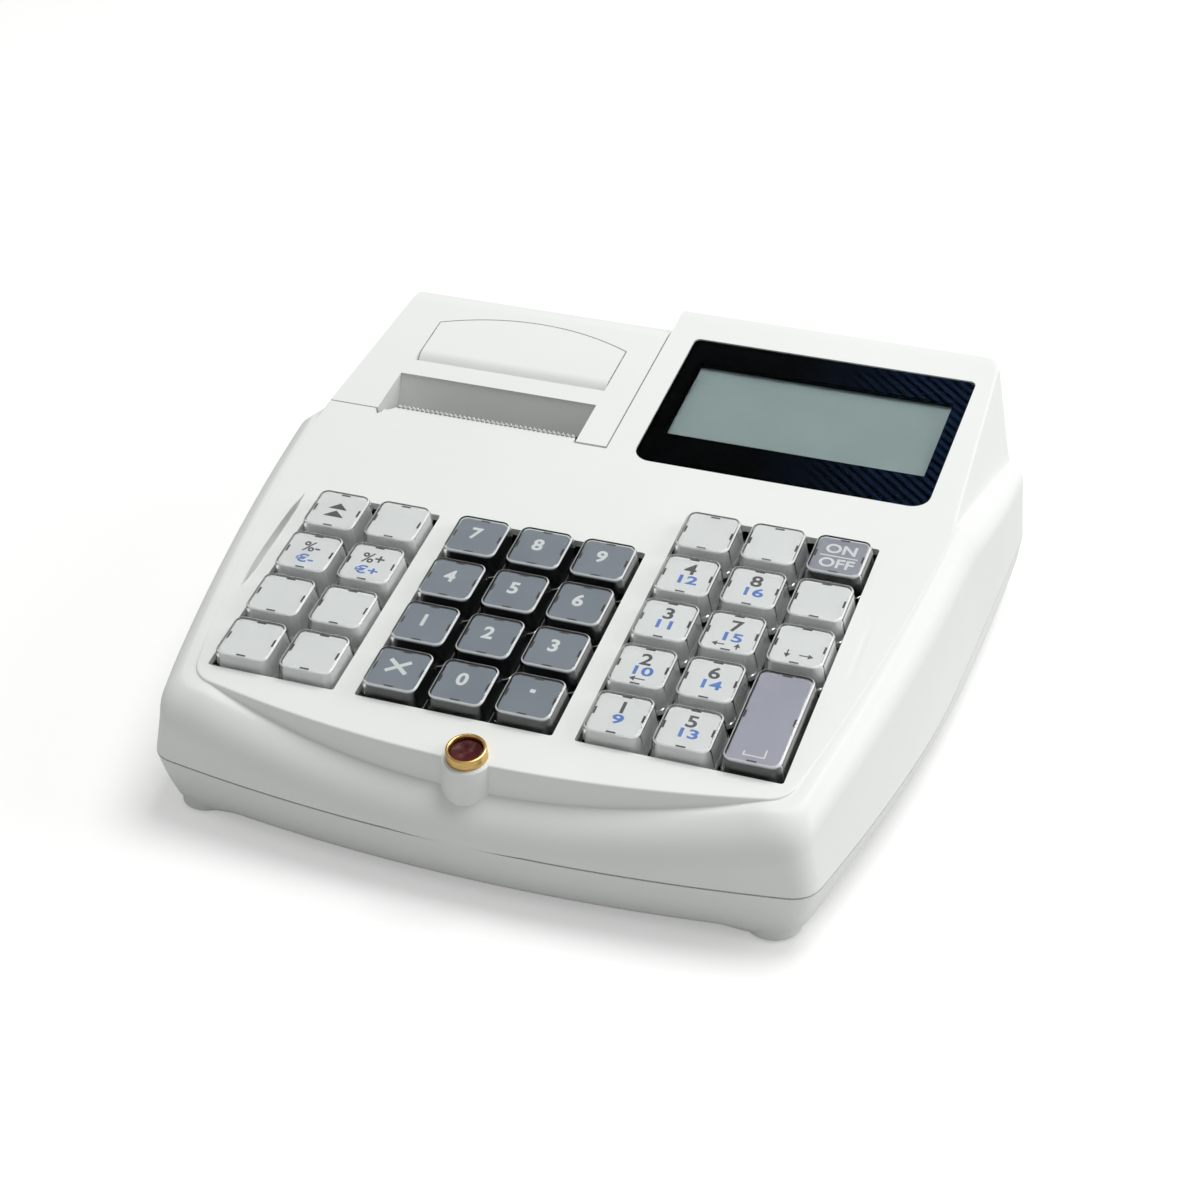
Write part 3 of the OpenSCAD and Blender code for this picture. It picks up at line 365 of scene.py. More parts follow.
def circle(cx, cy, r, n=48):
    turns = [2 * math.pi * i / n for i in range(n)]
    return [(cx + r * math.cos(a), cy + r * math.sin(a)) for a in turns]


def rounded(x0, x1, y0, y1, radii, n=8):
    """Rectangle with its own corner radius at left front, right front, right rear and left rear."""
    pts = []
    corners = ((x0, y0, 1, 1, 180), (x1, y0, -1, 1, 270), (x1, y1, -1, -1, 0), (x0, y1, 1, -1, 90))
    for (cx, cy, sx, sy, a0), r in zip(corners, radii):
        for i in range(n + 1):
            a = math.radians(a0 + 90 * i / n)
            pts.append((cx + sx * r + r * math.cos(a), cy + sy * r + r * math.sin(a)))
    return pts


def block(x0, x1, y0, y1, z0, z1, place="plan"):
    return prism(rect(x0, x1, y0, y1), z0, z1, place)


def rod(x0, x1, y, z, r, n=48):
    return prism(circle(y, z, r, n), x0, x1, "side")


def post(x, y, r, z0, z1, n=24, place="plan"):
    return prism(circle(x, y, r, n), z0, z1, place)


def round_rows(sections, n=72):
    """Circles from sections of (radius, height)."""
    return [[(x, y, w) for x, y in circle(0, 0, r, n)] for r, w in sections]


def turned(name, v, sections):
    """Round solid in the middle of the deck frame from sections of (radius, height)."""
    bm = bmesh.new()
    stack(bm, round_rows(sections), 0, v)
    return solid(name, bm)


def weld(bm, gap):
    bmesh.ops.remove_doubles(bm, verts=bm.verts, dist=gap * MM)


def settle(piece):
    """Makes a piece's modifiers part of its mesh."""
    shown = piece.evaluated_get(bpy.context.evaluated_depsgraph_get())
    mesh = bpy.data.meshes.new_from_object(shown)
    piece.modifiers.clear()
    old = piece.data
    piece.data = mesh
    bpy.data.meshes.remove(old)


def discard(piece):
    mesh = piece.data
    bpy.data.objects.remove(piece)
    bpy.data.meshes.remove(mesh)


def shape(piece, operation, tools):
    for tool in tools:
        change = piece.modifiers.new("shape", "BOOLEAN")
        change.object = tool
        change.operation = operation
        change.solver = "MANIFOLD"
        settle(piece)
        discard(tool)
    return piece


def cut(piece, *tools):
    return shape(piece, "DIFFERENCE", tools)


def add(piece, *tools):
    return shape(piece, "UNION", tools)


def keep(piece, *tools):
    return shape(piece, "INTERSECT", tools)


def finish_edges(piece, width=0.0, clean=True):
    """Small rounds on the sharp edges, with flat faces kept flat to the light."""
    if clean:
        bm = bmesh.new()
        bm.from_mesh(piece.data)
        weld(bm, FINE_GAP)
        bmesh.ops.dissolve_degenerate(bm, edges=bm.edges, dist=FINE_GAP * MM)
        bm.to_mesh(piece.data)
        bm.free()
    piece.data.shade_smooth()
    if width:
        rounds = piece.modifiers.new("rounds", "BEVEL")
        rounds.width = width * MM
        rounds.segments = 2
        rounds.limit_method = "ANGLE"
        rounds.angle_limit = math.radians(38)
        settle(piece)
    piece.data.set_sharp_from_angle(angle=math.radians(35))
    flats = piece.modifiers.new("flats", "WEIGHTED_NORMAL")
    flats.keep_sharp = True
    settle(piece)
    return piece


# ---------------------------------------------------------------- node trees
def node(tree, kind, sockets=None, **settings):
    """Adds a node to a tree: a socket of another node is linked, and a plain value is set."""
    made = tree.nodes.new(kind)
    for key, value in settings.items():
        setattr(made, key, value)
    for key, value in (sockets or {}).items():
        for one in value if isinstance(value, list) else [value]:
            if isinstance(one, bpy.types.NodeSocket):
                tree.links.new(one, made.inputs[key])
            else:
                made.inputs[key].default_value = one
    return made


# ---------------------------------------------------------------- materials
def shader(name, **sockets):
    """A material with its Principled shader set by socket name, its tree and the shader's inputs."""
    material = bpy.data.materials.new(name)
    material.use_nodes = True
    tree = material.node_tree
    into = tree.nodes["Principled BSDF"].inputs
    for key, value in sockets.items():
        into[key.replace("_", " ")].default_value = value
    return material, tree, into


def object_place(tree):
    return node(tree, "ShaderNodeTexCoord").outputs["Object"]


def noise(tree, scale, detail=3.0, rough=0.55, where=None):
    vector = where or object_place(tree)
    return node(tree, "ShaderNodeTexNoise", {"Scale": scale, "Detail": detail, "Roughness": rough,
                                             "Vector": vector}).outputs["Fac"]


def tint(tree, into, tex, low, high, span=(0.3, 0.7)):
    """Colour that drifts between two tones with a texture."""
    ramp = node(tree, "ShaderNodeValToRGB", {"Fac": tex})
    for stop, place, tone in zip(ramp.color_ramp.elements, span, (low, high)):
        stop.position, stop.color = place, (*tone, 1)
    tree.links.new(ramp.outputs["Color"], into["Base Color"])


def relief(tree, into, tex, strength, distance):
    bump = node(tree, "ShaderNodeBump", {"Strength": strength, "Distance": distance, "Height": tex})
    tree.links.new(bump.outputs["Normal"], into["Normal"])


def gloss(tree, into, tex, low, high):
    spread = node(tree, "ShaderNodeMapRange", {"To Min": low, "To Max": high, "Value": tex})
    tree.links.new(spread.outputs["Result"], into["Roughness"])


def plastic(name, low, high, rough=(0.38, 0.5), grain=2600, bump=0.12, drift=14):
    """Moulded plastic: a slight drift of tone, spark-eroded grain and uneven gloss."""
    material, tree, into = shader(name, Specular_IOR_Level=0.4)
    tint(tree, into, noise(tree, drift, 4), low, high)
    fine = noise(tree, grain, 2, 0.6)
    relief(tree, into, fine, bump, 0.00003)
    gloss(tree, into, fine, *rough)
    return material


def metal(name, low, high, rough=(0.2, 0.4), stretch=(20, 400, 400)):
    """Drawn metal with fine lines along X."""
    material, tree, into = shader(name, Metallic=1.0)
    lines = node(tree, "ShaderNodeMapping", {"Scale": stretch, "Vector": object_place(tree)})
    tex = noise(tree, 6, 5, 0.7, lines.outputs["Vector"])
    tint(tree, into, tex, low, high)
    gloss(tree, into, tex, *rough)
    relief(tree, into, tex, 0.15, 0.00002)
    return material


case_white = plastic("case_white", (0.80, 0.825, 0.80), (0.835, 0.855, 0.83))
base_white = plastic("base_white", (0.76, 0.785, 0.755), (0.80, 0.82, 0.79))
cap_white = plastic("cap_white", (0.90, 0.91, 0.91), (0.93, 0.94, 0.935), (0.3, 0.4), 3500, 0.05, 40)
cap_slate = plastic("cap_slate", (0.20, 0.235, 0.28), (0.235, 0.27, 0.315), (0.3, 0.4), 3500, 0.05, 60)
cap_lilac = plastic("cap_lilac", (0.40, 0.40, 0.49), (0.44, 0.44, 0.53), (0.3, 0.4), 3500, 0.05, 60)
cap_grey = plastic("cap_grey", (0.30, 0.31, 0.37), (0.34, 0.35, 0.41), (0.3, 0.4), 3500, 0.05, 60)
# Black for the plate, switches and other dark parts; also painted shade on the dark keys' skirts and on the seam
# lip.
black_and_painted_shade = plastic("black_and_painted_shade", (0.006, 0.007, 0.008), (0.014, 0.015, 0.017), (0.4, 0.6))
ink_dark = plastic("ink_dark", (0.05, 0.05, 0.06), (0.07, 0.07, 0.08), (0.4, 0.5), 4000, 0.02)
ink_blue = plastic("ink_blue", (0.06, 0.19, 0.62), (0.08, 0.23, 0.70), (0.4, 0.5), 4000, 0.02)
ink_white = plastic("ink_white", (0.86, 0.87, 0.88), (0.92, 0.93, 0.93), (0.4, 0.5), 4000, 0.02)
rubber = plastic("rubber", (0.012, 0.012, 0.013), (0.03, 0.03, 0.032), (0.7, 0.85), 1200, 0.35)
platen_black = plastic("platen_black", (0.02, 0.02, 0.022), (0.04, 0.04, 0.043), (0.6, 0.75), 900, 0.3)
gear_ivory = plastic("gear_ivory", (0.70, 0.68, 0.60), (0.78, 0.76, 0.68), (0.35, 0.5))
steel = metal("steel", (0.50, 0.50, 0.49), (0.72, 0.72, 0.71))
screw_steel = metal("screw_steel", (0.38, 0.38, 0.39), (0.60, 0.60, 0.61), (0.25, 0.4), (300, 300, 300))
brass = metal("brass", (0.50, 0.30, 0.09), (0.86, 0.60, 0.24), (0.18, 0.34), (90, 90, 900))
head_grey = metal("head_grey", (0.12, 0.12, 0.13), (0.20, 0.20, 0.21))


def clear_plastic():
    """Glass-clear moulded cover, faintly uneven."""
    material, tree, into = shader("clear_plastic", Base_Color=(0.97, 0.985, 0.98, 1), IOR=1.49,
                                  Transmission_Weight=1.0)
    tex = noise(tree, 120, 2)
    gloss(tree, into, tex, 0.02, 0.06)
    relief(tree, into, tex, 0.05, 0.0001)
    return material


def moulded_rim():
    """Milky white for the edge of a clear cover: painted highlight, standing in for the light that gathers along
    its rims.
    """
    material, tree, into = shader("moulded_rim", Base_Color=(0.93, 0.95, 0.95, 1), IOR=1.49,
                                  Transmission_Weight=0.3)
    tex = noise(tree, 400, 3)
    gloss(tree, into, tex, 0.08, 0.2)
    relief(tree, into, tex, 0.1, 0.00005)
    return material


def window_film():
    """Thin clear film over the display, with little gloss of its own."""
    material, tree, into = shader("window_film", Base_Color=(0.985, 0.99, 0.99, 1), IOR=1.05,
                                  Transmission_Weight=1.0)
    gloss(tree, into, noise(tree, 90, 2), 0.03, 0.07)
    return material


def lcd_glass():
    """Reflective grey-green liquid crystal panel."""
    material, tree, into = shader("lcd_glass", Specular_IOR_Level=0.2)
    tint(tree, into, noise(tree, 60, 3), (0.185, 0.240, 0.238), (0.200, 0.255, 0.252))
    gloss(tree, into, noise(tree, 300, 2), 0.18, 0.26)
    return material


def sealing_wax():
    material, tree, into = shader("sealing_wax", Specular_IOR_Level=0.25)
    tex = noise(tree, 700, 4)
    tint(tree, into, tex, (0.035, 0.002, 0.003), (0.11, 0.006, 0.006))
    relief(tree, into, tex, 0.5, 0.0003)
    gloss(tree, into, tex, 0.3, 0.5)
    return material


def thermal_paper():
    """Matt white paper with the fine rings of a wound roll."""
    material, tree, into = shader("thermal_paper", Specular_IOR_Level=0.25, Roughness=0.6)
    tint(tree, into, noise(tree, 500, 5), (0.84, 0.84, 0.83), (0.90, 0.90, 0.89))
    centre = node(tree, "ShaderNodeMapping", {"Location": (0, -ROLL_Y * MM, -ROLL_Z * MM),
                                              "Vector": object_place(tree)})
    wind = node(tree, "ShaderNodeTexWave", {"Scale": 900, "Vector": centre.outputs["Vector"]},
                wave_type="RINGS", rings_direction="X")
    relief(tree, into, wind.outputs["Fac"], 0.25, 0.0001)
    return material


def circuit_board():
    """Green solder resist with a fine web of copper paths under it."""
    material, tree, into = shader("circuit_board", Roughness=0.35)
    web = node(tree, "ShaderNodeTexBrick", {
        "Scale": 260, "Color1": (0.010, 0.075, 0.035, 1), "Color2": (0.012, 0.095, 0.045, 1),
        "Mortar": (0.03, 0.17, 0.08, 1), "Mortar Size": 0.03, "Vector": object_place(tree)})
    tree.links.new(web.outputs["Color"], into["Base Color"])
    return material


def printed_bezel():
    """Black print behind the window, with a faint dark blue diagonal hatch toward its right end."""
    material, tree, into = shader("printed_bezel", Roughness=0.6, Specular_IOR_Level=0.0)
    where = object_place(tree)
    hatch = node(tree, "ShaderNodeTexWave", {"Scale": 150, "Vector": where}, bands_direction="DIAGONAL")
    apart = node(tree, "ShaderNodeSeparateXYZ", {0: where})
    reach = node(tree, "ShaderNodeMapRange", {"From Min": 0.035, "From Max": 0.085,
                                              "Value": apart.outputs["X"]})
    share = node(tree, "ShaderNodeMath", {0: hatch.outputs["Fac"], 1: reach.outputs["Result"]},
                 operation="MULTIPLY")
    tint(tree, into, share.outputs[0], (0.0006, 0.0008, 0.0012), (0.005, 0.014, 0.034), (0.0, 1.0))
    return material


clear = clear_plastic()
rim_highlight = moulded_rim()
bezel_black = printed_bezel()
film = window_film()
lcd = lcd_glass()
wax = sealing_wax()
paper = thermal_paper()
board = circuit_board()


def dress(piece, material, body, slot, *nodes):
    """Gives a piece its finish, its body and the CAD nodes that it stands for; the slot argument is not used."""
    if material:
        piece.data.materials.clear()
        piece.data.materials.append(material)
    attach(piece, body)
    if nodes:
        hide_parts(*nodes)
    return piece


# ---------------------------------------------------------------- upper case
def cover_side(lift, floor_z):
    """Side outline of the space over the ledge line, for the printer cover."""
    def line(y):
        return ledge(y) + lift
    y20 = on_deck(0, 20, -4)[1]
    y_rear = HINGE_Y - 6.1
    top = on_deck(0, 20, 40)
    return [(top[1], top[2]), (y20, line(y20)), (LEDGE_Y, line(LEDGE_Y)), (y_rear, line(y_rear)),
            (y_rear, floor_z), (130, floor_z), (130, 130)]


def ear_room(r, x0, x1):
    return [rod(x0, x1, HINGE_Y, HINGE_Z, r), block(x0, x1, HINGE_Y - r, HINGE_Y + 30, 0, HINGE_Z)]


def valley():
    """Cutter for the shallow valley beside the keys, steep on the side of the keys."""
    top = 1.5
    rows = []
    for v, depth in VALLEY:
        rise = top + depth
        low, out, ins = (VALLEY_X, -depth), (VALLEY_X + 5 * rise, top), (VALLEY_X - 1.6 * rise, top)
        knee = [bez(part_of(low, out, 0.3), low, part_of(low, ins, 0.3), k / 4) for k in range(5)]
        rows.append([on_deck(x, v, w) for x, w in [out] + knee + [ins]])
    return loft("valley", rows)


def other_side(piece):
    """A copy of a piece on the other side of the middle."""
    bm = bmesh.new()
    bm.from_mesh(piece.data)
    for vert in bm.verts:
        vert.co.x = -vert.co.x
    return solid(piece.name + "_left", bm)


def cover_zone():
    """What the printer cover's place takes out of the upper case."""
    zone = prism(cover_side(0.15, HINGE_Z - 6), -130, COVER_X + 0.2, "side")
    x1, v1, r = COVER_X + 0.2, COVER_V - 0.4, BARREL_R - 0.3
    keep(zone, prism([(-130, COVER_V), (-83.3, COVER_V), (-81.8, 31.9), (-77.2, 36.2), (-18.9, 36.2),
                      (-18.7, v1), (x1, v1), (x1, 160), (-130, 160)], -60, 30, "deck"))
    return cut(zone, *ear_room(r, -140, EAR_X0 - 0.1), *ear_room(r, EAR_X1 + 0.1, 0))


def upper_case():
    case = cut(skin("upper_shell", outer_rows()), skin("inner", inner_rows()), cover_zone())
    tub_r, tub_x0, tub_x1 = ROLL_R + 0.4, -82.2, -18.4
    for x0, x1 in ((-98.2, EAR_X0), (EAR_X1, COVER_X + 0.8)):
        add(case, rod(x0, x1, HINGE_Y, HINGE_Z, BARREL_R),
            block(x0, x1, HINGE_Y - BARREL_R, HINGE_Y + BARREL_R, BAY_Z + 1, HINGE_Z))
    rear = HALF_D - 1
    wall = [(30, 22), (rear, 22), (rear, deck_z(HALF_D) - 6), (rear - 3, deck_z(HALF_D - 4) - 1.1),
            (30, deck_z(30) - 1.1)]
    add(case, prism(wall, COVER_X + 0.2, COVER_X + 2.2, "side"))
    add(case, block(-103.4, COVER_X + 1, 52, rear, BAY_Z, BAY_Z + 2))
    tub = rod(tub_x0 - 1.8, tub_x1 + 1.8, ROLL_Y, ROLL_Z, tub_r + 2, 72)
    add(case, keep(tub, block(-100, 0, 0, 200, 0, BAY_Z + 2)))
    for x in (tub_x0 - 1.5, tub_x1):
        add(case, block(x, x + 1.5, 80.2, 85, -40, -20, "deck"))
    for x in (tub_x0 - 0.1, tub_x1 - 2.4):
        add(case, block(x, x + 2.5, 80.2, 82.6, -24, -21.5, "deck"))
    add(case, block(-81.2, POCKET_X1 - 0.4, 33.2, 35.4, -9.5, -0.9, "deck"))
    x0, x1, v0, v1 = WINDOW
    add(case, prism(rounded(x0 - 2.2, x1 + 1.6, v0 - 3, v1 + 2.5, [2] * 4), -4.5, -0.9, "deck"))
    add(case, turned("boss", SEAL_V, [(SEAL_R + 2.5, -19), (SEAL_R + 0.25, -1.92), (SEAL_R + 0.1, -0.32),
                                      (SEAL_R - 0.2, -0.02)]))
    for x, y in CASE_POSTS:
        add(case, post(x, y, 3.4, SEAM_Z + SEAM_GAP / 2, deck_z(y) - 1.3 if y < 80 else BAY_Z + 1.5))
    for x, v in DECK_POSTS:
        add(case, post(x, v, 2.6, PLATE_TOP, -1, 24, "deck"))
    add(case, block(12, 88, HALF_D - 4.2, rear, 49.5, 72.2))
    cut(case, rod(tub_x0, tub_x1, ROLL_Y, ROLL_Z, tub_r, 72),
        block(tub_x0, tub_x1, 40, 60, 29, BAY_Z + 5),
        rod(EAR_X0 - 4, EAR_X0 + 1, HINGE_Y, HINGE_Z, PIN_R + 0.06),
        rod(EAR_X1 - 1, EAR_X1 + 4, HINGE_Y, HINGE_Z, PIN_R + 0.06))
    for first, last, row in KEY_BLOCKS:
        well = rounded(column_x(first) - 9.45, column_x(last) + 9.15, row_v(0) - 9.2, row_v(row) + 9.6,
                       [0.8] * 4, 4)
        cut(case, prism(well, -8, 8, "deck"))
    right = valley()
    left = other_side(right)
    cut(case, right, left)
    cut(case, prism(rounded(x0 - 0.25, x1 + 0.25, v0 - 0.25, v1 + 0.25, (5.5, 5.5, 2, 2)), -2.1, 8, "deck"),
        prism(rounded(x0 + 2.6, x1 - 2.6, 41.5, 89, [1.5] * 4), -10, 2, "deck"),
        block(14.7, 85.3, HALF_D - 2.1, HALF_D + 5, 51.7, 70.3),
        block(17, 83, HALF_D - 8, HALF_D, 54, 68),
        post(0, SEAL_V, CUP_R + 0.06, -5, 15, 64, "deck"))
    for x, width, top, low in SOCKETS:
        half = width / 2 + 0.3
        cut(case, block(x - half, x + half, HALF_D - 10, HALF_D + 5, 10, top + 0.3))
    for vert in case.data.vertices:
        vert.co.z = min(vert.co.z, cad_box[1][2] - 0.02 * MM)
    return finish_edges(case, clean=False)


dress(upper_case(), case_white, "case", "case_plastic", "upper_case")


# ---------------------------------------------------------------- lower case
def lower_case():
    base = BASE_Z
    knee, top = low_row(1.2, 11.5, 0, 1.9), seam_row(SEAM_Z - SEAM_GAP, 0)
    rows = [low_row(15, base, 0), low_row(12.5, base - 0.1, 0.5), low_row(10.5, base - 0.2, 1),
            low_row(6.5, base - 0.2, 1), low_row(5.4, base + 0.05, 1), low_row(4.6, base + 0.6, 1),
            low_row(4.0, base + 1.5, 0.96), low_row(3.4, base + 2.6, 0.9, 1.0),
            low_row(2.2, 8.4, 0.42, 1.6), knee]
    rows += [part_way(knee, top, k) for k in (0.3, 0.65, 0.96)] + [top]
    inside = [low_row(15, base + WALL, 0), low_row(8, base + WALL + 1, 0), low_row(1.2 + WALL, 11.5, 0),
              seam_row(SEAM_Z + 1, WALL)]
    case = cut(skin("lower_shell", rows), skin("inner", inside))
    for x, y in CASE_POSTS:
        add(case, post(x, y, 4.8, base + 1, SEAM_Z - SEAM_GAP, 32))
    for x, y in FEET:
        add(case, post(x, y, 7.5, FOOT_FACE, base + FOOT_FACE + 0.6, 48))
    for x, y in CASE_POSTS:
        cut(case, post(x, y, 3.2, -1, 14.5, 32), post(x, y, 1.7, -2, 29))
    for x, y in FEET:
        cut(case, post(x, y, 6.1, -1, 1.6, 48))
    for x, width, top, low in SOCKETS:
        half = width / 2 + 0.3
        cut(case, block(x - half, x + half, HALF_D - 10, HALF_D + 5, low - 0.3, 30))
    return finish_edges(case)


def seam_lip():
    """Inside lip that closes the line between the case halves, in black as painted shade in the seam."""
    def whole(t):
        half = [(x, y) for x, y, z in seam_row(0, t)]
        return half + [(-x, y) for x, y in half[-2:0:-1]]
    lip = prism(whole(WALL + LIP_IN), SEAM_Z - 8, SEAM_Z + 2)
    cut(lip, prism(whole(WALL + LIP_IN + LIP_T), SEAM_Z - 9, SEAM_Z + 3),
        block(-20, 95, HALF_D - 12, HALF_D + 5, SEAM_Z - SEAM_GAP, 30))
    lip.name = "seam_lip"
    return lip


dress(lower_case(), base_white, "case", "case_plastic", "lower_case")
dress(seam_lip(), black_and_painted_shade, "case", "case_plastic")


# ---------------------------------------------------------------- printer cover and lever
def rear_profile(r, t):
    """Side outline of the cover: deck plane, rounded rear and rear wall, set in by t."""
    cy = HALF_D - r
    cz = deck_z(cy) - r / COS
    rr = r - t
    arc = [(cy + rr * math.cos(a), cz + rr * math.sin(a))
           for a in (math.radians(d) for d in [i * (90 + 10.44) / 24 for i in range(25)])]
    y1, z1 = arc[-1]
    return [(-20, 20), (HALF_D - t, 20)] + arc + [(-20, z1 - (20 + y1) * TAN)]


def left_facet(t):
    """Half space inboard of the leaning left side, set in by t."""
    normal = Vector((1, FACET_K * TAN - POD_K, -FACET_K))
    place = Vector((-(POD_X0 + POD_K * POD_Y0 + FACET_K * DECK_H), 0, 0))
    n = normal.normalized()
    base = n * (place.x / normal.length) + n * t
    across = n.orthogonal().normalized()
    along = n.cross(across)
    return loft("facet", [[base + n * depth + across * a + along * b for a, b in rect(-200, 200, -200, 200)]
                          for depth in (0, 300)])


def lid_outline(g):
    """D outline of the lever's place, set in by g."""
    middle, half = (LID_X0 + LID_X1) / 2, (LID_X1 - LID_X0) / 2 - g
    pts = [(LID_X0 + g, LID_V0 + g), (LID_X1 - g, LID_V0 + g)]
    r = LID_R - g
    reach = math.degrees(math.asin(half / r))
    for i in range(33):
        a = math.radians(90 - reach + 2 * reach * i / 32)
        pts.append((middle + r * math.cos(a), LID_V1 - LID_R + r * math.sin(a)))
    return pts


def printer_cover():
    cover = keep(prism(rear_profile(COVER_R, 0), -130, COVER_X - 0.25, "side", "cover_shell"), left_facet(0),
                 prism(cover_side(0.15 + COVER_GAP, HINGE_Z - 1), -131, 5, "side"),
                 block(-131, 9, COVER_V + COVER_GAP, 175, -60, 30, "deck"))
    cut(cover, keep(prism(rear_profile(COVER_R, WALL), -131, 5, "side"), left_facet(WALL)))
    cut(cover, rod(-135, EAR_X0 + 0.3, HINGE_Y, HINGE_Z, BARREL_R + 0.6),
        rod(EAR_X1 - 0.3, 5, HINGE_Y, HINGE_Z, BARREL_R + 0.6),
        block(-135, EAR_X0 + 0.3, HINGE_Y, 130, HINGE_Z - 20, HINGE_Z + 6),
        block(EAR_X1 - 0.3, 5, HINGE_Y, 130, HINGE_Z - 20, HINGE_Z + 6),
        block(POCKET_X0, POCKET_X1, 0, POCKET_V1, -40, 20, "deck"),
        prism(lid_outline(0), -20, 10, "deck"))
    v0, v1, t = COVER_V + COVER_GAP + 0.5, POCKET_V1, 1.8
    chute = [(v1, -0.7), (v1 + t, -0.7), (v1 + t, -14), (v1 - 1, -14), (v1 - 5, -9.5)]
    add(cover, prism(chute, POCKET_X0 - t, POCKET_X1 + t, "deck_side"),
        block(POCKET_X0 - t, POCKET_X0, v0, v1 + 1, -14, -1, "deck"),
        block(POCKET_X1, POCKET_X1 + t, v0, v1 + 1, -8, -1, "deck"),
        block(LID_X0 - t, LID_X1 + t, LID_V0 - t, LID_V0, -8, -1, "deck"))
    for x in (LID_X0 - 3.2, LID_X1):
        add(cover, block(x, x + 3.2, LID_PIN[0] - 3, LID_PIN[0] + 3, -5.4, -1, "deck"))
    add(cover, rod(EAR_X0 + 0.3, EAR_X1 - 0.3, HINGE_Y, HINGE_Z, BARREL_R),
        block(EAR_X0 + 0.3, EAR_X1 - 0.3, HALF_D - WALL - 0.6, HALF_D - 0.1, HINGE_Z, 58),
        rod(EAR_X0 - 3.2, EAR_X1 + 3.2, HINGE_Y, HINGE_Z, PIN_R))
    cut(cover, post(*LID_PIN, LID_PIN_R + 0.06, LID_X0 - 2.6, LID_X1 + 2.6, 24, "deck_side"))
    return finish_edges(cover)


def lever():
    """D-shaped release lever: flat plate with its front rolled down."""
    r, t, gap = 5.5, 2.0, 0.45
    v0 = LID_V0 + gap + r
    turns = [math.radians(d * 7.5) for d in range(13)]
    top = [(v0 - r * math.sin(a), -r + r * math.cos(a)) for a in turns]
    low = [(v0 - (r - t) * math.sin(a), -r + (r - t) * math.cos(a)) for a in reversed(turns)]
    profile = [(v0 + 40, 0)] + top + low + [(v0 + 40, -t)]
    plate = keep(prism(profile, -100, 0, "deck_side", "release_lever"), prism(lid_outline(gap), -20, 10, "deck"))
    for x in (LID_X0 + gap, LID_X1 - gap - 1.8):
        add(plate, block(x, x + 1.8, LID_PIN[0] - 3.4, LID_PIN[0] - 0.4, -24, -1, "deck"),
            block(x, x + 1.8, LID_PIN[0] - 3.4, LID_PIN[0] + 0.8, -24, -22, "deck"),
            block(x, x + 1.8, LID_PIN[0] - 2.4, LID_PIN[0] + 1.6, -4.4, -1, "deck"))
    for x0, x1 in ((LID_X0 - 2.4, LID_X0 + 1), (LID_X1 - 1, LID_X1 + 2.4)):
        add(plate, post(*LID_PIN, LID_PIN_R, x0, x1, 24, "deck_side"))
    return finish_edges(plate)


dress(printer_cover(), case_white, "cover", "case_plastic", "printer_cover")
dress(lever(), case_white, "latch", "case_plastic", "cover_latch")


# ---------------------------------------------------------------- keys
KEY_A = 5.3
R_BASE, R_FACE = KEY_BASE / 2 - KEY_A, KEY_FACE / 2 - KEY_A
INSET = COVER_SKIN + COVER_PLAY
LABEL_TOP = KEY_TOP - INSET


def inked(piece, *materials):
    for material in materials:
        piece.data.materials.append(material)
    return piece


def block_rows(x0, x1, y0, y1, w0, w1):
    return [[(x, y, w) for x, y in rect(x0, x1, y0, y1)] for w in (w0, w1)]


def key_cap(name, x, v, grow, tone, skirt):
    """Opaque cap: a label field on top, sloping skirt, clip marks and a round stem."""
    b = KEY_A + grow
    r0, r1 = R_BASE - INSET, R_FACE - INSET
    shelf = mix(r0, r1, 0.9)
    bm = bmesh.new()
    top = LABEL_TOP
    sides = [(R_BASE, CAP_END), (R_BASE, SKIRT_END), (r0, SKIRT_END), (shelf, top - 0.6)]
    field = [sides[-1], (r1, top - 0.22), (r1 - 0.08, top - 0.06), (r1 - 0.24, top)]
    stack(bm, slab_rows(KEY_A, b, sides), x, v, 1, (True, False))
    stack(bm, slab_rows(KEY_A, b, field), x, v, 0, (False, True))
    stack(bm, round_rows([(STEM_R, STEM_END), (STEM_R, CAP_END + 0.5)], 24), x, v, 1)
    across, clip = (-1.35, 1.35), (top - 0.9, top + 0.05)
    for side in (-1, 1):
        ends = [sorted((side * (edge + r1 - 0.62), side * (edge + r1 - 0.06))) for edge in (KEY_A, b)]
        stack(bm, block_rows(*ends[0], *across, *clip), x, v, 2)
        stack(bm, block_rows(*across, *ends[1], *clip), x, v, 2)
    weld(bm, 0.001)
    return finish_edges(inked(solid(name, bm), tone, skirt, black_and_painted_shade))


def key_cover(name, x, v, grow):
    """Clear cover over a cap, open underneath, with rounded upper edges."""
    b = KEY_A + grow
    low, top = SKIRT_END + 0.05, KEY_TOP
    shelf, under = mix(R_BASE, R_FACE, 0.88), top - COVER_SKIN + 0.05
    side = [(mix(R_BASE, shelf, 0.06), low + 0.35), (shelf, top - 0.9), (R_FACE - 0.05, top - 0.5)]
    rim = [(R_FACE - 0.05, top - 0.5), (R_FACE - 0.2, top - 0.22), (R_FACE - 0.45, top - 0.05)]
    inner = [(R_FACE - COVER_SKIN - 0.15, under), (R_FACE - COVER_SKIN - 0.03, under - 0.12),
             (shelf - COVER_SKIN, top - 0.95), (R_BASE - COVER_SKIN, low)]
    edge, open_ends = (R_BASE, low), (False, False)
    bm = bmesh.new()
    # Material 1 on the band at the base and on the rounded upper rim is a painted highlight.
    for sections, material, close in (
            (inner + [edge], 0, (True, False)), ([edge, side[0]], 1, open_ends), (side, 0, open_ends),
            (rim, 1, open_ends), ([rim[-1], (R_FACE - 0.8, top)], 0, (False, True))):
        stack(bm, slab_rows(KEY_A, b, sections), x, v, material, close)
    weld(bm, 0.001)
    return finish_edges(inked(solid(name, bm), clear, rim_highlight))


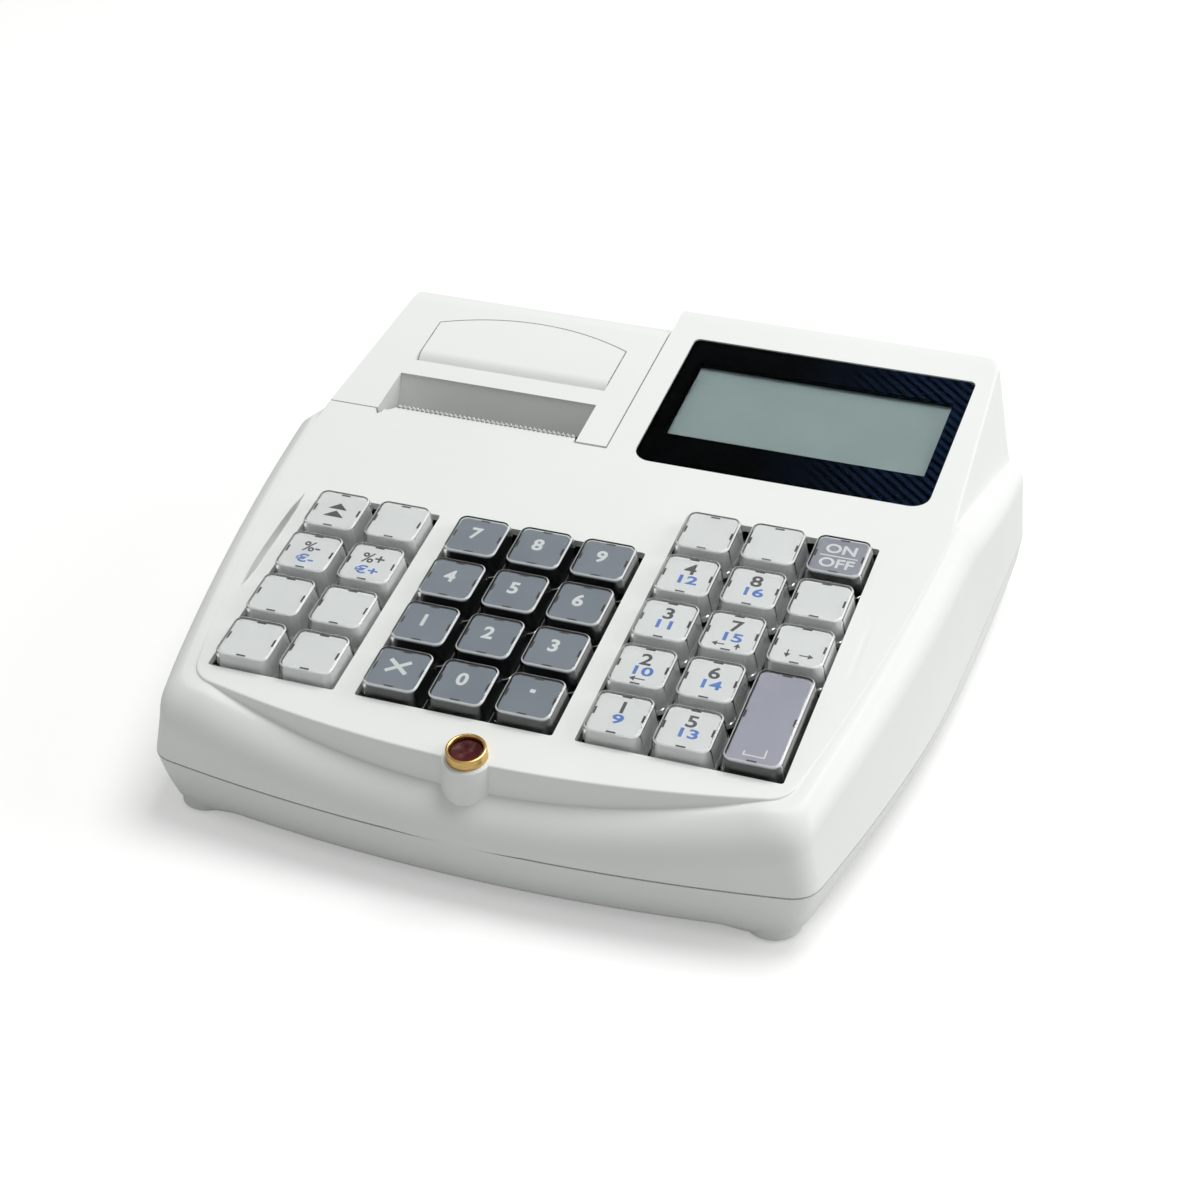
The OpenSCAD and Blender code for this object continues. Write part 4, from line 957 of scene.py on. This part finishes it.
KEYS = []
for k, (c, r) in enumerate([(0, 3), (1, 3), (0, 2), (1, 2), (0, 1), (1, 1), (0, 0), (1, 0)]):
    KEYS.append(("function_key_%d" % (k + 1), c, r, "white"))
for digit, c, r in [(digit, 2 + (digit - 1) % 3, 1 + (digit - 1) // 3)
                    for digit in (7, 8, 9, 4, 5, 6, 1, 2, 3)] + [(0, 3, 0)]:
    KEYS.append(("digit_%d_key" % digit, c, r, "slate"))
KEYS += [("times_key", 2, 0, "slate"), ("point_key", 4, 0, "slate"), ("menu_key_1", 5, 4, "white"),
         ("menu_key_2", 6, 4, "white"), ("on_off_key", 7, 4, "grey"), ("side_key_1", 7, 3, "white"),
         ("side_key_2", 7, 2, "white"), ("cash_key", 7, 0.5, "lilac")]
for k in range(8):
    KEYS.append(("group_key_%d" % (k + 1), 5 + k % 2, 3 - k // 2, "white"))

# The slate, grey and lilac keys get black skirts: painted shade on sides that have the key's own tone.
TONES = {"white": (cap_white, cap_white), "slate": (cap_slate, black_and_painted_shade), "grey": (cap_grey, black_and_painted_shade),
         "lilac": (cap_lilac, black_and_painted_shade)}


def lettering(text, size, x, v, w, ink, bold=0.0, squeeze=1.0):
    """Flat printed figures on the deck frame, centred at x, v."""
    curve = bpy.data.curves.new("lettering", "FONT")
    curve.body = text
    curve.size = size
    curve.align_x = curve.align_y = "CENTER"
    curve.offset = bold
    curve.extrude = PRINT_T
    curve.resolution_u = 4
    figures = bpy.data.objects.new("lettering", curve)
    bpy.context.scene.collection.objects.link(figures)
    mesh = bpy.data.meshes.new_from_object(figures.evaluated_get(bpy.context.evaluated_depsgraph_get()))
    bpy.data.objects.remove(figures)
    bpy.data.curves.remove(curve)
    for vert in mesh.vertices:
        p = vert.co
        vert.co = Vector(on_deck(x + p.x * squeeze, v + p.y, w + p.z)) * MM
    bm = bmesh.new()
    bm.from_mesh(mesh)
    bpy.data.meshes.remove(mesh)
    weld(bm, FINE_GAP)
    return inked(solid("lettering", bm, False), ink)


def sign(outlines, x, v, w, ink):
    """Flat printed sign from polygons on the deck frame."""
    bm = bmesh.new()
    for pts in outlines:
        ring_faces(bm, [vert_ring(bm, [on_deck(x + a, v + b, w + h) for a, b in pts])
                        for h in (0, 2 * PRINT_T)])
    return inked(solid("sign", bm, False), ink)


def merge(name, pieces):
    """Joins pieces into one, with each material kept."""
    bm = bmesh.new()
    slots = []
    for p in pieces:
        start = len(bm.faces)
        bm.from_mesh(p.data)
        bm.faces.ensure_lookup_table()
        index = []
        for m in p.data.materials:
            if m not in slots:
                slots.append(m)
            index.append(slots.index(m))
        for f in bm.faces[start:]:
            f.material_index = index[f.material_index]
        discard(p)
    return inked(new_object(name, bm, False), *slots)


LABEL_W = LABEL_TOP + 0.005


def turn_to(points, degrees, shift):
    """Points turned by degrees about the middle, then shifted."""
    c, s = math.cos(math.radians(degrees)), math.sin(math.radians(degrees))
    return [(a * c - b * s + shift[0], a * s + b * c + shift[1]) for a, b in points]


def arrow(length, degrees, shift):
    """A plain arrow, turned from pointing right."""
    tip, neck = length / 2, length / 2 - 1.5
    return [turn_to([(neck, -0.95), (tip, 0), (neck, 0.95)], degrees, shift),
            turn_to([(-tip, -0.2), (neck + 0.1, -0.2), (neck + 0.1, 0.2), (-tip, 0.2)], degrees, shift)]


def legends(name, x, v):
    """Printed figures and signs of one key."""
    out = []
    def figures(text, size, dx, dv, ink, bold=0.0, squeeze=1.0):
        out.append(lettering(text, size, x + dx, v + dv, LABEL_W + PRINT_T, ink, bold, squeeze))
    def signs(outlines, ink):
        out.append(sign(outlines, x, v, LABEL_W, ink))
    kind, _, rest = name.partition("_")
    if kind == "digit":
        figures(name[6], 6.4, -0.9, 0.9, ink_white, 0.2)
    elif name == "times_key":
        for turn in (38, -38):
            signs([turn_to(rect(-3.8, 3.8, -0.6, 0.6), turn, (-0.4, 1.0))], ink_white)
    elif name == "point_key":
        signs([rect(-0.9, 0.6, 1.4, 2.7)], ink_white)
    elif name == "on_off_key":
        figures("ON", 5.2, 0, 2.6, ink_white, 0.13, 1.1)
        figures("OFF", 5.2, 0, -3.4, ink_white, 0.13, 1.1)
        signs([rect(-5.4, 5.4, -0.55, -0.1)], ink_white)
    elif kind == "group":
        k = int(name[-1]) - 1
        number = 4 - k // 2 + 4 * (k % 2)
        figures(str(number), 6.0, 0.2, 2.5, ink_dark, 0.13, 1.15)
        figures(str(number + 8), 4.6, 0.2, -1.9, ink_blue, 0.12, 1.45)
        if name == "group_key_4":
            signs(arrow(3.6, 180, (-2.6, -4.9)) + arrow(2.4, 90, (2.8, -4.9)), ink_dark)
        elif name == "group_key_5":
            signs(arrow(4.4, 180, (0.0, -4.9)), ink_dark)
    elif name == "function_key_1":
        signs([[(-3.2, -2.9), (3.2, -2.9), (0, -0.1)], [(-2.9, 0.5), (2.9, 0.5), (0, 3.1)]], ink_dark)
    elif name in ("function_key_3", "function_key_4"):
        mark = "-" if name.endswith("3") else "+"
        figures("%" + mark, 5.6, 0, 1.9, ink_dark, 0.08)
        figures("\u20ac" + mark, 4.4, 0, -3.2, ink_blue, 0.1, 1.3)
    elif name == "side_key_2":
        signs(arrow(3.0, 270, (-2.7, -3.6)) + arrow(4.0, 0, (2.6, -3.6)), ink_dark)
    elif name == "cash_key":
        signs([rect(-3.0, 3.0, -14.6, -14.2), rect(2.6, 3.0, -14.2, -11.4),
               rect(-3.0, -2.6, -14.2, -13.0)], ink_white)
    return out


# Keys with figures and signs, and plain keys, each an opaque cap under its clear cover.
for name, column, row, tone in KEYS:
    grow = PITCH / 2 if name == "cash_key" else 0.0
    x, v = column_x(column), row_v(row)
    face, skirt = TONES[tone]
    cap = merge(name + "_cap", [key_cap(name + "_cap0", x, v, grow, face, skirt)] + legends(name, x, v))
    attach(cap, name)
    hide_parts(name)
    dress(key_cover(name + "_cover", x, v, grow), None, name, tone + "_cap")


# ---------------------------------------------------------------- displays
def operator_window():
    """Black printed bezel with an opening over the panel, under a thin clear pane."""
    edge = rounded(*WINDOW, (5.5, 5.5, 2, 2), 10)
    x0, x1, v0, v1 = LCD
    bezel = prism(edge, -2.0, -0.35, "deck", "window_bezel")
    # The opening is set in at the left and rear edges only, so the black print covers strips there: painted
    # shade of the recess over the display.
    cut(bezel, prism(rounded(x0 + 0.9, x1, v0, v1 - 1.3, [0.3] * 4, 3), -4, 2, "deck"))
    pane = prism(edge, -0.34, 0.0, "deck", "window_pane")
    return finish_edges(bezel), finish_edges(pane, 0.1)


bezel, pane = operator_window()
dress(bezel, bezel_black, "case", "black_window", "display_window")
dress(pane, film, "case", "black_window")


# ---------------------------------------------------------------- seal
def seal():
    outer = [(CUP_R - 0.3, -4.9), (CUP_R, -4.6), (CUP_R, 2.6), (CUP_R - 0.12, 2.88), (CUP_R - 0.4, 3.0)]
    inner = [(CUP_R - 0.75, 2.93), (CUP_R - 0.95, 2.7), (CUP_R - 1.0, 2.3), (CUP_R - 1.0, -1.9)]
    cup = turned("seal_cup_rim", SEAL_V, outer + inner)
    cup.data.set_sharp_from_angle(angle=math.radians(40))
    bm = bmesh.new()
    rows = []
    for i, (r, w) in enumerate(((4.45, -1.85), (4.4, 1.6), (4.1, 1.75), (3.4, 1.55), (2.5, 1.35),
                                (1.6, 1.28), (0.7, 1.25))):
        wave = 0.12 if 1 < i < 6 else 0
        rows.append([(x, y, w + wave * math.sin(math.radians(15 * j + 40 * i)))
                     for j, (x, y) in enumerate(circle(0, 0, r, 72))])
    stack(bm, rows, 0, SEAL_V)
    return cup, solid("seal_wax_blob", bm)


cup, blob = seal()
dress(cup, brass, "case", "seal_brass", "seal_cup")
dress(blob, wax, "case", "wax", "seal_wax")


# ---------------------------------------------------------------- repeated parts
class Growth:
    """A geometry tree with a named input for each size."""

    def __init__(self, name, sizes):
        self.group = bpy.data.node_groups.new(name, "GeometryNodeTree")
        face = self.group.interface
        face.new_socket("Geometry", in_out="INPUT", socket_type="NodeSocketGeometry")
        for key, value in sizes.items():
            kind = "NodeSocketInt" if isinstance(value, int) else "NodeSocketFloat"
            face.new_socket(key, in_out="INPUT", socket_type=kind)
        face.new_socket("Geometry", in_out="OUTPUT", socket_type="NodeSocketGeometry")
        self.size = self.group.nodes.new("NodeGroupInput").outputs

    def add(self, kind, sockets, **settings):
        return node(self.group, "GeometryNode" + kind, sockets, **settings).outputs[0]

    def vector(self, x=0.0, y=0.0, z=0.0):
        return node(self.group, "ShaderNodeCombineXYZ", {"X": x, "Y": y, "Z": z}).outputs[0]

    def times(self, a, b):
        value = self.size[a] if isinstance(a, str) else a
        return node(self.group, "ShaderNodeMath", {0: value, 1: b}, operation="MULTIPLY").outputs[0]

    def cylinder(self, sides, radius, depth):
        return self.add("MeshCylinder", {"Vertices": sides, "Radius": radius, "Depth": depth})

    def move(self, geometry, **sockets):
        return self.add("Transform", {"Geometry": geometry, **{k.title(): v for k, v in sockets.items()}})

    def join(self, pieces):
        return self.add("MeshBoolean", {"Mesh 2": pieces}, operation="UNION", solver="MANIFOLD")

    def finish(self, points, instance, material, **sockets):
        """Ends the tree with its copies made real and their material set."""
        self.close(self.real(points, instance, **sockets), material)

    def real(self, points, instance, **sockets):
        copies = self.add("InstanceOnPoints", {"Points": points, "Instance": instance, **sockets})
        return self.add("RealizeInstances", {"Geometry": copies})

    def close(self, geometry, material):
        done = self.add("SetMaterial", {"Geometry": geometry, "Material": material})
        node(self.group, "NodeGroupOutput", {0: done})


QUARTER = math.pi / 2


def tooth_row(grow, material):
    """Row of three-cornered teeth on a flat strip, along X."""
    size, high = grow.size, "Tooth height"
    upright = grow.move(grow.cylinder(3, 1.0, 1.0), rotation=(0, 0, QUARTER))
    tooth = grow.move(upright, rotation=(QUARTER, 0, 0),
                      scale=grow.vector(grow.times("Pitch", 0.97 * 3 ** -0.5), grow.times(high, 2 / 3),
                                        size["Thickness"]),
                      translation=grow.vector(z=grow.times(high, 0.32)))
    places = grow.add("MeshLine", {"Count": size["Teeth"], "Offset": grow.vector(size["Pitch"]),
                                   "Start Location": grow.vector(grow.times("Pitch", 0.5))})
    teeth = grow.real(places, tooth)
    length = grow.times("Pitch", size["Teeth"])
    strip = grow.add("MeshCube", {"Size": grow.vector(length, size["Thickness"], size["Strip"])})
    placed = grow.move(strip, translation=grow.vector(grow.times(length, 0.5), z=grow.times("Strip", -0.5)))
    grow.close(grow.join([teeth, placed]), material)


def screw_set(grow, material):
    """Cross-head screws on the given points, each along the point's own axis."""
    size, high = grow.size, "Head height"
    shank = grow.move(grow.cylinder(20, size["Shank radius"], size["Shank length"]),
                      translation=grow.vector(z=grow.times("Shank length", 0.49)))
    head = grow.add("MeshCone", {"Vertices": 32, "Radius Bottom": size["Head radius"],
                                 "Radius Top": grow.times("Head radius", 0.84), "Depth": size[high]})
    whole = grow.join([shank, grow.move(head, rotation=(math.pi, 0, 0))])
    slot = []
    for turn in (0, QUARTER):
        bar = grow.add("MeshCube", {"Size": grow.vector(size["Slot length"], grow.times("Slot length", 0.19),
                                                        size[high])})
        slot.append(grow.move(bar, rotation=(0, 0, turn), translation=grow.vector(z=grow.times(high, -0.95))))
    screw = grow.add("MeshBoolean", {"Mesh 1": whole, "Mesh 2": slot}, operation="DIFFERENCE",
                     solver="MANIFOLD")
    axis = grow.add("InputNamedAttribute", {"Name": "axis"}, data_type="FLOAT_VECTOR")
    turn = node(grow.group, "FunctionNodeAlignRotationToVector", {"Vector": axis}, axis="Z").outputs[0]
    grow.finish(size[0], screw, material, Rotation=turn)


def pin_row(grow, material):
    """Row of contact pins along X that point to the rear."""
    size = grow.size
    edge_up = grow.move(grow.cylinder(size["Sides"], size["Radius"], size["Length"]),
                        rotation=(0, 0, math.pi / 4))
    pin = grow.move(edge_up, rotation=(QUARTER, 0, 0), translation=grow.vector(y=grow.times("Length", 0.5)))
    places = grow.add("MeshLine", {"Count": size["Pins"], "Offset": grow.vector(size["Pitch"])})
    grow.finish(places, pin, material)


def grown(name, make_tree, material, sizes, points=(), place=Matrix()):
    """Runs a geometry tree with its sizes set, and keeps the result as a plain mesh in its place."""
    mesh = bpy.data.meshes.new(name)
    mesh.from_pydata([Vector(p) * MM for p, axis in points] or [(0, 0, 0)], [], [])
    if points:
        axes = mesh.attributes.new("axis", "FLOAT_VECTOR", "POINT")
        for item, (p, axis) in zip(axes.data, points):
            item.vector = axis
    piece = bpy.data.objects.new(name, mesh)
    bpy.context.scene.collection.objects.link(piece)
    grow = Growth(make_tree.__name__, sizes)
    make_tree(grow, material)
    change = piece.modifiers.new("grow", "NODES")
    change.node_group = grow.group
    for item in grow.group.interface.items_tree:
        if item.in_out == "INPUT" and item.name in sizes:
            value = sizes[item.name]
            change[item.identifier] = value if isinstance(value, int) else value * MM
    settle(piece)
    piece.data.transform(place)
    return piece


DECK_PLACE = Matrix.Translation((0, 0, DECK_H * MM)) @ Matrix.Rotation(TILT, 4, "X")
BAR_X0, BAR_X1, BAR_V, BAR_T, BAR_H, TEETH = -77.0, -19.1, 36.25, 0.6, 5.0, 38

bar = grown("tear_bar_strip", tooth_row, steel,
            {"Teeth": TEETH, "Pitch": (BAR_X1 - BAR_X0) / TEETH, "Tooth height": 0.9,
             "Thickness": BAR_T, "Strip": BAR_H},
            place=DECK_PLACE @ Matrix.Translation(Vector((BAR_X0, BAR_V + BAR_T / 2, 0)) * MM))
dress(finish_edges(bar), None, "case", "bar_steel", "tear_bar")

UP, DOWN, DECK_UP = (0, 0, 1), (0, 0, -1), (0, -SIN, COS)
SCREW_PLACES = [((x, y, 14.5), UP) for x, y in CASE_POSTS]
SCREW_PLACES += [(on_deck(x, v, PLATE_LOW), DECK_UP) for x, v in DECK_POSTS]
SCREW_PLACES += [((x, y, 14.6), DOWN) for x, y in ((4, -52), (78, -52), (4, 84), (78, 84))]
SCREW_PLACES += [((x, y, 18.2), DOWN) for x, y in ((-74, 30), (-26, 30), (-74, 43), (-44, 43))]
screws = grown("cross_head_screws", screw_set, screw_steel,
               {"Shank radius": 1.5, "Shank length": 8.0, "Head radius": 2.8, "Head height": 2.0,
                "Slot length": 3.2},
               SCREW_PLACES)
dress(finish_edges(screws, 0.12), None, "case", "screw_steel", "case_screws")

pins = []
for x, z, count, pitch, radius, sides, y0, length in (
        (58, 23.3, 8, 1.02, 0.24, 4, 93.8, 8.0), (36, 23.3, 8, 1.02, 0.24, 4, 93.8, 8.0),
        (10.5, 22.2, 5, 2.77, 0.5, 16, 99.8, 4.6), (10.5, 19.4, 4, 2.77, 0.5, 16, 99.8, 4.6),
        (78, 20.2, 1, 0.0, 1.0, 24, 96.8, 6.5)):
    start = Matrix.Translation(Vector((x - pitch * (count - 1) / 2, y0, z)) * MM)
    pins.append(grown("pins", pin_row, brass, {"Pins": count, "Pitch": pitch, "Radius": radius,
                                               "Sides": sides, "Length": length}, place=start))
contacts = finish_edges(merge("socket_contacts", pins))
dress(contacts, None, "case", "pinion_brass")


# ---------------------------------------------------------------- carried-over CAD nodes
FINISHES = {
    "rubber_feet": rubber, "display_module": lcd,
    "customer_window": black_and_painted_shade, "customer_module": lcd, "key_plate": black_and_painted_shade,
    "key_switches": black_and_painted_shade, "keyboard_board": board, "main_board": board, "rear_sockets": black_and_painted_shade,
    "printer_frame": steel, "print_head": head_grey, "platen_roller": platen_black,
    "platen_gear": gear_ivory, "idler_gear": gear_ivory, "feed_motor": steel, "motor_pinion": brass,
    "paper_roll": paper,
}
for part, material in FINISHES.items():
    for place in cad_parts[part].material_slots:
        place.material = material


# ---------------------------------------------------------------- floor, light and camera
FLOOR_SIZE, FLOOR_GLOW = 4.0, 0.34
ROOM_LIGHT, CLEAR_SHARE, WHITE = 0.37, 0.5, (1, 1, 1, 1)
LENS, EYE, AHEAD = 74.41, (212.04, -578.21, 412.38), (-0.2903, 0.7990, -0.5266)


def glow(tree, strength, **colour):
    """White light of a strength: an emission, or a background where a colour is given."""
    kind = "ShaderNodeBackground" if colour else "ShaderNodeEmission"
    return node(tree, kind, {"Strength": strength, **colour}).outputs[0]


def pick(tree, share, a, b):
    return node(tree, "ShaderNodeMixShader", {0: share, 1: a, 2: b}).outputs[0]


def stage():
    """White floor that keeps the shadow, and a room that looks white to the camera and through clear parts."""
    bm = bmesh.new()
    bmesh.ops.create_grid(bm, x_segments=1, y_segments=1, size=FLOOR_SIZE)
    floor = new_object("floor", bm, False)
    material, tree, into = shader("floor_white", Roughness=0.95, Specular_IOR_Level=0.1)
    tint(tree, into, noise(tree, 2.0), (0.69, 0.69, 0.685), (0.71, 0.71, 0.705))
    rays = node(tree, "ShaderNodeLightPath").outputs
    shine = pick(tree, rays["Is Camera Ray"], glow(tree, 0.0), glow(tree, FLOOR_GLOW))
    base = tree.nodes["Principled BSDF"].outputs[0]
    both = node(tree, "ShaderNodeAddShader", {0: base, 1: shine}).outputs[0]
    tree.links.new(both, tree.nodes["Material Output"].inputs["Surface"])
    inked(floor, material)
    world = bpy.data.worlds.new("room")
    bpy.context.scene.world = world
    world.use_nodes = True
    tree = world.node_tree
    back = tree.nodes["Background"]
    back.inputs["Color"].default_value = WHITE
    back.inputs["Strength"].default_value = ROOM_LIGHT
    rays = node(tree, "ShaderNodeLightPath").outputs
    seen = node(tree, "ShaderNodeMath", {0: rays["Is Transmission Ray"], 1: CLEAR_SHARE,
                                         2: rays["Is Camera Ray"]}, operation="MULTIPLY_ADD").outputs[0]
    both = pick(tree, seen, back.outputs[0], glow(tree, 1.0, Color=WHITE))
    tree.links.new(both, tree.nodes["World Output"].inputs["Surface"])


def lamp(name, place, size, power):
    light = bpy.data.lights.new(name, "AREA")
    light.shape = "DISK"
    light.size = size
    light.energy = power
    thing = bpy.data.objects.new(name, light)
    thing.location = place
    thing.rotation_euler = Vector(place).to_track_quat("Z", "Y").to_euler()
    bpy.context.scene.collection.objects.link(thing)


def camera():
    lens = bpy.data.cameras.new("camera")
    lens.lens = LENS
    lens.sensor_width = 36.0
    lens.sensor_fit = "HORIZONTAL"
    lens.clip_start, lens.clip_end = 0.02, 20
    eye = bpy.data.objects.new("camera", lens)
    bpy.context.scene.collection.objects.link(eye)
    eye.location = Vector(EYE) * MM
    ahead = Vector(AHEAD).normalized()
    right = ahead.cross(Vector((0, 0, 1))).normalized()
    up = right.cross(ahead)
    eye.rotation_euler = Matrix((right, up, -ahead)).transposed().to_euler()
    bpy.context.scene.camera = eye


stage()
lamp("top_light", (0.35, 0.5, 1.8), 1.1, 23.5)
lamp("side_light", (1.5, 0.6, 0.8), 1.2, 10)
camera()
bpy.context.scene.view_settings.view_transform = "Standard"
